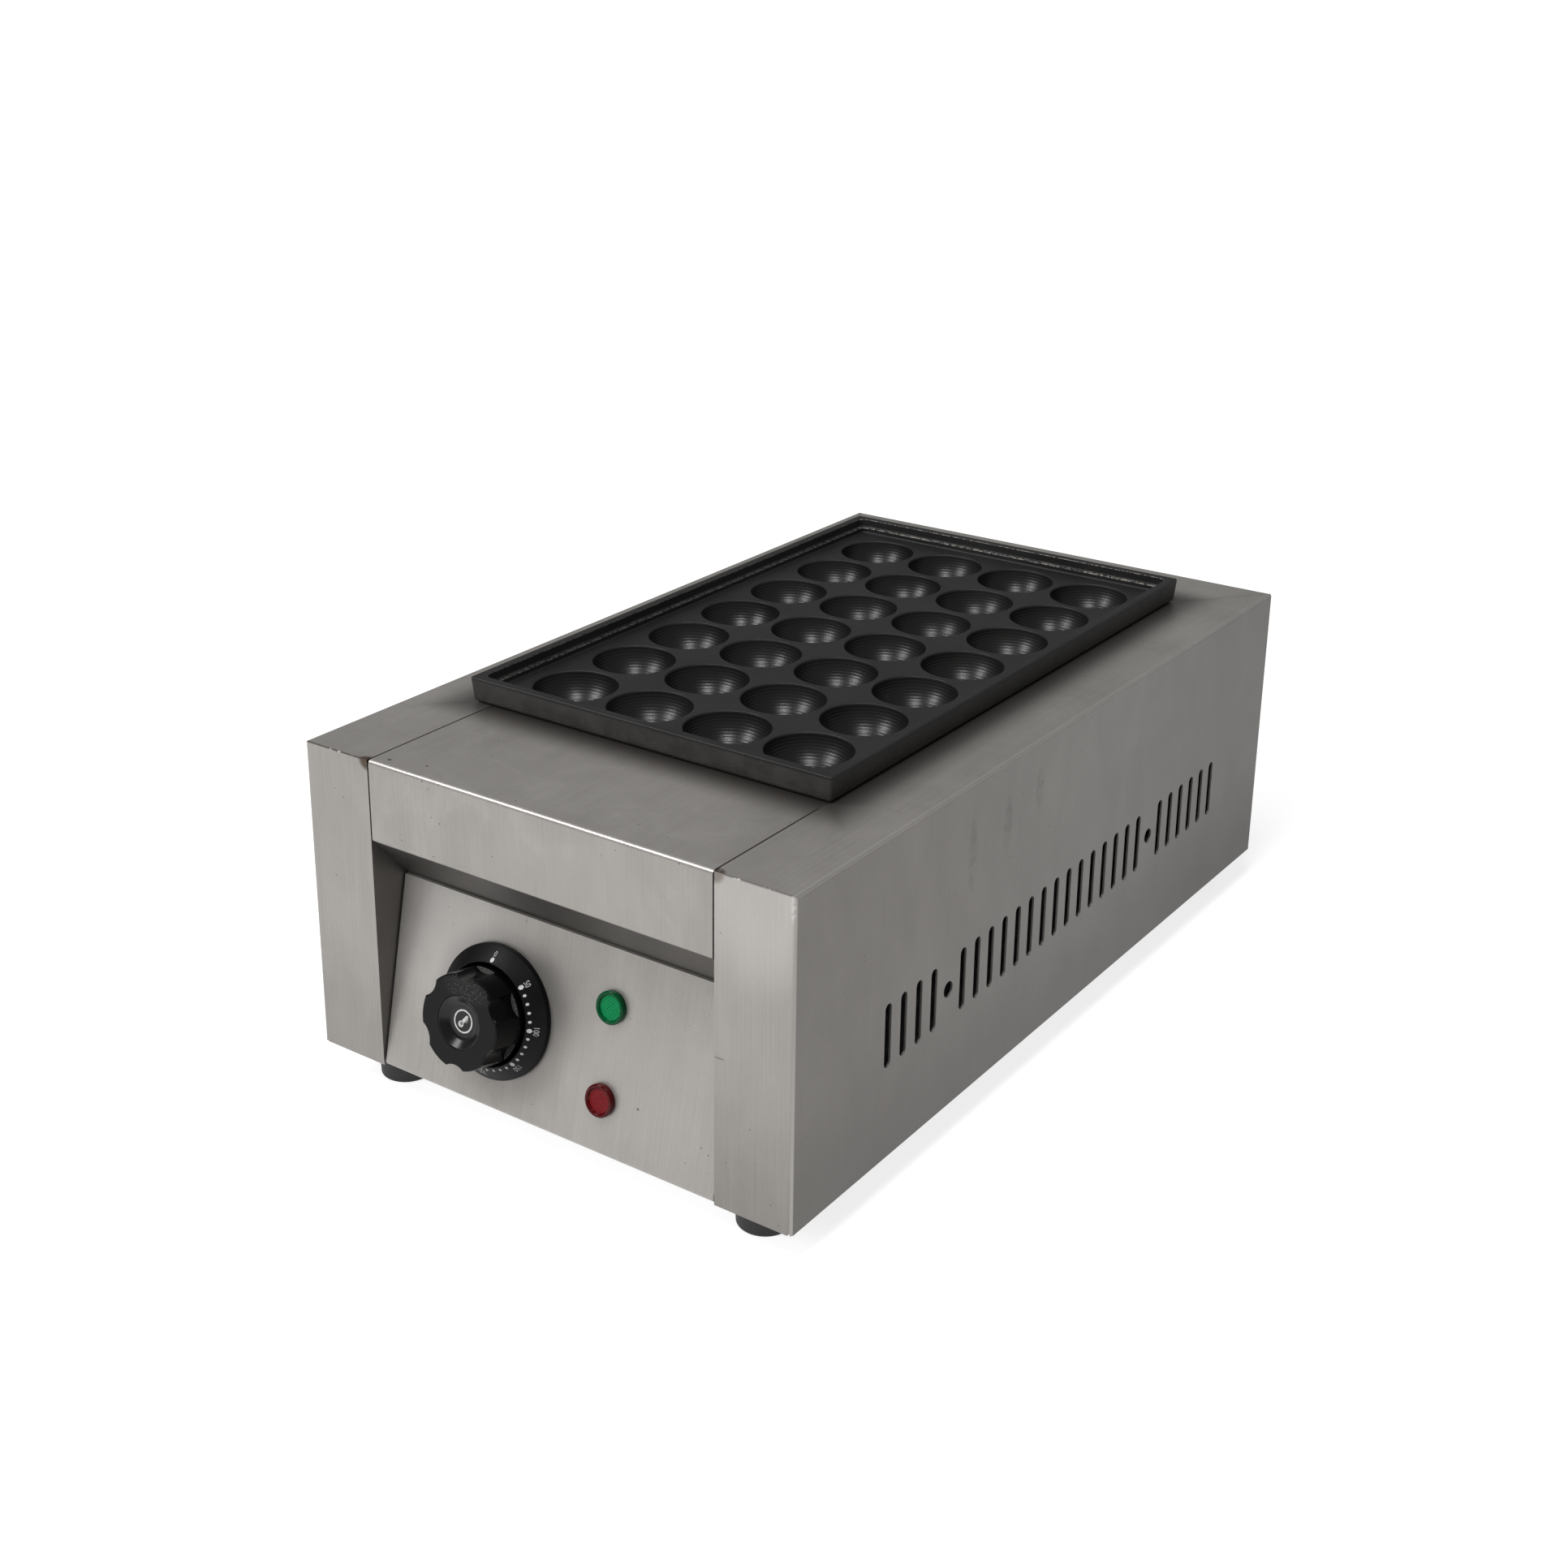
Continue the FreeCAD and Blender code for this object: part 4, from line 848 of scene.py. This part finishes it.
def dial_marks(ring_piece, ink):
    """The scale: a number and a large dot at each step, with small dots between."""
    steps, step, fifth, degrees = 7, 45, 9, 50
    dot_ring, large, small = 24.6 * MM, 0.95 * MM, 0.62 * MM
    number_ring, number_height = 26.95 * MM, 2.1 * MM
    dots = [disc(*clockwise(dot_ring, step * i), large) for i in range(steps)]
    for i in range(1, steps - 1):
        dots += [disc(*clockwise(dot_ring, step * i + fifth * j), small, 14) for j in range(1, 5)]
    print_on(ring_piece, dots, "scale_dots", ink, "housing")
    numbers = [digits(str(degrees * i), number_ring, step * i, number_height)
               for i in range(steps)]
    print_on(ring_piece, numbers, "scale_numbers", ink, "housing")


def knob_symbol(cap, ink):
    """Heat symbol on the knob's cap: a ring round a small thermometer."""
    lean = 38.0
    ring_outer, ring_inner = 5.2 * MM, 4.5 * MM
    stem_middle, stem_half_width, stem_half_length = 0.6 * MM, 0.75 * MM, 2.3 * MM
    bulb_middle, bulb_radius = -1.9 * MM, 1.45 * MM
    marks, first_mark, mark_spacing, mark_aside = 3, 0.9 * MM, 0.8 * MM, 1.2 * MM
    mark_half_width, mark_half_length = 0.14 * MM, 0.3 * MM

    def on_stem(distance, aside=0.0):
        x, y = clockwise(distance, lean)
        aside_y, aside_x = clockwise(aside, lean)
        return x + aside_x, y - aside_y

    shapes = [ring(0, 0, ring_outer, ring_inner),
              bar(*on_stem(stem_middle), stem_half_width, stem_half_length, lean),
              disc(*on_stem(bulb_middle), bulb_radius)]
    for i in range(marks):
        shapes.append(bar(*on_stem(first_mark + mark_spacing * i, mark_aside),
                          mark_half_width, mark_half_length, lean + 90))
    print_on(cap, shapes, "heat_symbol", ink, "knob")


def honeycomb_dome(u, v):
    """Height of a lens window's small domes at a place in it."""
    pitch, height = 1.25 * MM, 0.28 * MM
    row_step, dome_radius = pitch * 0.866, pitch * 0.46
    row = round(v / row_step)
    shift = (row % 2) * pitch / 2
    middle = round((u - shift) / pitch) * pitch + shift
    gap = math.hypot(u - middle, v - row * row_step)
    return height * max(0.0, 1 - (gap / dome_radius) ** 2)


def indicator_lens(node, name, across, up, finish):
    """Round lens: a rolled rim round a sunk window of small domes in a honeycomb."""
    count, window_rings = 120, 26
    rim, edge, edge_out = 7.3 * MM, 0.9 * MM, 1.9 * MM
    window, window_lip, margin = 5.5 * MM, 1.65 * MM, 0.4 * MM
    profile = [(rim, 0.0), (rim, WINDOW_OUT)]
    profile += arc(rim - edge, edge_out, edge, 0, 150, 7)
    profile += [(window, window_lip)]
    profile += [(window * k / window_rings, WINDOW_OUT) for k in reversed(range(window_rings))]
    shell = Shell()
    rings = []
    for r, out in profile:
        row = []
        for i in range(count):
            a = 2 * math.pi * i / count
            u, v = r * math.cos(a), r * math.sin(a)
            dome = honeycomb_dome(u, v) if r < window - margin else 0.0
            row.append(shell.point(*on_panel(across + u, up + v, out + dome)))
        rings.append(row)
    for lower, upper in zip(rings, rings[1:]):
        shell.strip(lower, upper)
    return add_piece(name, shell.points, shell.faces, finish, "housing", (node,))


# ---------------------------------------------------------------- making the griddle

def repaint(finish, *nodes):
    """Gives whole nodes of the CAD model a finish."""
    for node in nodes:
        for material_slot in frame["nodes"][node].material_slots:
            material_slot.material = finish


def paint_housing():
    """Finishes of every node that is seen as the CAD model has it, but the knob."""
    repaint(sheet_steel("satin_sheet_front", front_marks), "front_cover")
    repaint(sheet_steel("satin_sheet_panel", panel_marks), "control_panel")
    repaint(sheet_steel("satin_sheet_right", right_marks), "right_side_panel")
    repaint(sheet_steel("satin_sheet_left", left_marks), "left_side_panel")
    repaint(sheet_steel("satin_sheet_rear", rear_marks), "rear_panel")
    repaint(zinc_sheet("zinc_coated_sheet"), "base_plate", "heater_tray", "heater_rests",
            "bulb_clip")
    repaint(moulded("foot_rubber", (0.012, 0.012, 0.012), roughness=0.6, grain=500.0, depth=0.05),
            "rubber_feet")
    repaint(turned_metal("zinc_plating", (0.42, 0.42, 0.43), (0.58, 0.58, 0.58)),
            "foot_screws", "foot_nuts", "hem_screws", "heater_pins", "thermostat_screws",
            "thermostat_shaft", "bonding_washers")
    repaint(heated_sheath("heated_sheath"), "left_heating_tube", "right_heating_tube")
    repaint(turned_metal("turned_brass", (0.42, 0.30, 0.13), (0.60, 0.46, 0.22)),
            "heater_fittings", "heater_nuts", "lamp_blades", "terminal_screws",
            "bonding_bolt", "bonding_nut")
    repaint(turned_metal("drawn_copper", (0.40, 0.20, 0.12), (0.60, 0.33, 0.21)),
            "sensor_bulb", "capillary_tube")
    repaint(glazed_ceramic("glazed_ceramic"), "terminal_block", "heater_insulators")
    repaint(moulded("black_phenolic", (0.014, 0.013, 0.012), roughness=0.42),
            "thermostat_body", "lamp_bodies", "lamp_nuts")
    repaint(moulded("gland_nylon", (0.012, 0.012, 0.013), roughness=0.48),
            "gland_body", "gland_cap", "gland_locknut")


def dress_controls():
    """The dial, the knob's dish, their print and the two lamp lenses."""
    ink = white_print("white_print")
    dial_black = moulded("dial_black", (0.003, 0.003, 0.0034), roughness=0.44, grain=1100.0,
                         depth=0.006, dusty=(0.011, 0.011, 0.011), gloss=0.13)
    dish_black = moulded("dish_black", (0.0016, 0.0016, 0.0019), roughness=0.26, grain=800.0,
                         depth=0.006, dusty=(0.004, 0.004, 0.004), gloss=0.34)
    repaint(knob_black("knob_black"), "control_knob")
    dial_marks(dial_cone(dial_black), ink)
    knob_symbol(knob_dish(dish_black), ink)
    across = LAMP_X - DIAL_CENTRE.x
    green = lens_plastic("green_lens", on_panel(across, LAMP_RISE, WINDOW_OUT),
                         deep=(0.0, 0.055, 0.016), bright=(0.0, 0.23, 0.072))
    red = lens_plastic("red_lens", on_panel(across, -LAMP_RISE, WINDOW_OUT),
                       deep=(0.055, 0.002, 0.003), bright=(0.17, 0.006, 0.009))
    indicator_lens("upper_lamp_lens", "green_lamp", across, LAMP_RISE, green)
    indicator_lens("lower_lamp_lens", "red_lamp", across, -LAMP_RISE, red)


# ---------------------------------------------------------------- floor, light and camera

FLOOR_HALF = 60.0
FLOOR_TONE = (0.45, 0.45, 0.45)
FLOOR_LIFT = 0.75

SKY_LEVEL = 0.27
WINDOW_PLACE, WINDOW_STRENGTH, WINDOW_SPREAD = (-0.08, -0.80, 0.48), 1.84, 30
# direction from the griddle, power in watts and width of each lamp
CEILING_LAMPS = (((-0.48, -0.47, 0.70), 16.0, 0.72), ((0.157, -0.286, 0.92), 15.0, 0.56))
LAMP_DISTANCE = 2.2
GRIDDLE_MIDDLE = (0, 0, 0.1)

CAMERA_PLACE = (0.53645, -0.82680, 0.52634)
# the camera's right, up and back
CAMERA_AXES = ((0.81347, 0.58157, 0.00578), (-0.20140, 0.27235, 0.94088),
               (0.54562, -0.76655, 0.33868))
CAMERA_LENS, CAMERA_SENSOR, CAMERA_DEPTH = 49.397, 36.0, 400.0
CAMERA_SHIFT_X, CAMERA_SHIFT_Y = 0.02277, -0.08592


def pale_floor():
    """A wide white floor; the camera and mirror-like surfaces see it a little lifted."""
    floor = Finish("white_floor", {"Roughness": 0.9, "Specular IOR Level": 0.0,
                                   "Base Color": FLOOR_TONE})
    seen = floor.node("ShaderNodeLightPath", output="Is Camera Ray") \
        + floor.node("ShaderNodeLightPath", output="Is Glossy Ray") \
        + floor.node("ShaderNodeLightPath", output="Is Transmission Ray")
    lift = floor.node("ShaderNodeEmission", {}, {"Color": (1, 1, 1), "Strength": FLOOR_LIFT})
    plain = floor.node("ShaderNodeEmission", {}, {"Color": (0, 0, 0), "Strength": 0.0})
    chosen = floor.node("ShaderNodeMixShader", {}, {0: seen, 1: plain, 2: lift})
    whole = floor.node("ShaderNodeAddShader", {}, {0: Tone(floor.shader.outputs[0]), 1: chosen})
    feed(floor.tree.nodes["Material Output"].inputs["Surface"], whole)
    corners = [(-1, -1), (1, -1), (1, 1), (-1, 1)]
    mesh = bpy.data.meshes.new("floor")
    mesh.from_pydata([(FLOOR_HALF * x, FLOOR_HALF * y, 0) for x, y in corners],
                     [], [[0, 1, 2, 3]])
    mesh.materials.append(floor.material)
    ground = bpy.data.objects.new("floor", mesh)
    bpy.context.scene.collection.objects.link(ground)


def aim(obj, towards):
    """Turns a light's beam towards a point."""
    obj.rotation_euler = (Vector(towards) - obj.location).to_track_quat("-Z", "Y").to_euler()


def studio_light():
    """An even sky, a broad window in front and two lamps overhead."""
    world = bpy.data.worlds.new("studio")
    bpy.context.scene.world = world
    world.use_nodes = True
    background = world.node_tree.nodes["Background"]
    background.inputs["Color"].default_value = (1.0, 1.0, 1.0, 1.0)
    background.inputs["Strength"].default_value = SKY_LEVEL
    window = bpy.data.objects.new("window", bpy.data.lights.new("window", "SUN"))
    window.data.energy = WINDOW_STRENGTH
    window.data.angle = math.radians(WINDOW_SPREAD)
    window.location = WINDOW_PLACE
    window.visible_glossy = False
    bpy.context.scene.collection.objects.link(window)
    aim(window, (0, 0, 0))
    for index, (direction, power, size) in enumerate(CEILING_LAMPS):
        lamp = bpy.data.objects.new(f"ceiling_lamp_{index}",
                                    bpy.data.lights.new(f"ceiling_lamp_{index}", "AREA"))
        lamp.data.shape = "DISK"
        lamp.data.size = size
        lamp.data.energy = power
        lamp.location = Vector(direction) * LAMP_DISTANCE
        bpy.context.scene.collection.objects.link(lamp)
        aim(lamp, GRIDDLE_MIDDLE)


def front_right_camera():
    """Looks down at the griddle from its front right."""
    camera = bpy.data.objects.new("camera", bpy.data.cameras.new("camera"))
    turn = Matrix(CAMERA_AXES).transposed().to_4x4()
    camera.matrix_world = Matrix.Translation(CAMERA_PLACE) @ turn
    camera.data.lens = CAMERA_LENS
    camera.data.sensor_width = CAMERA_SENSOR
    camera.data.shift_x = CAMERA_SHIFT_X
    camera.data.shift_y = CAMERA_SHIFT_Y
    camera.data.clip_end = CAMERA_DEPTH
    bpy.context.scene.collection.objects.link(camera)
    bpy.context.scene.camera = camera


front_right_camera()
studio_light()
pale_floor()
paint_housing()
cast_plate(nonstick("nonstick_coating"))
dress_controls()
bpy.context.scene.view_settings.view_transform = "Standard"
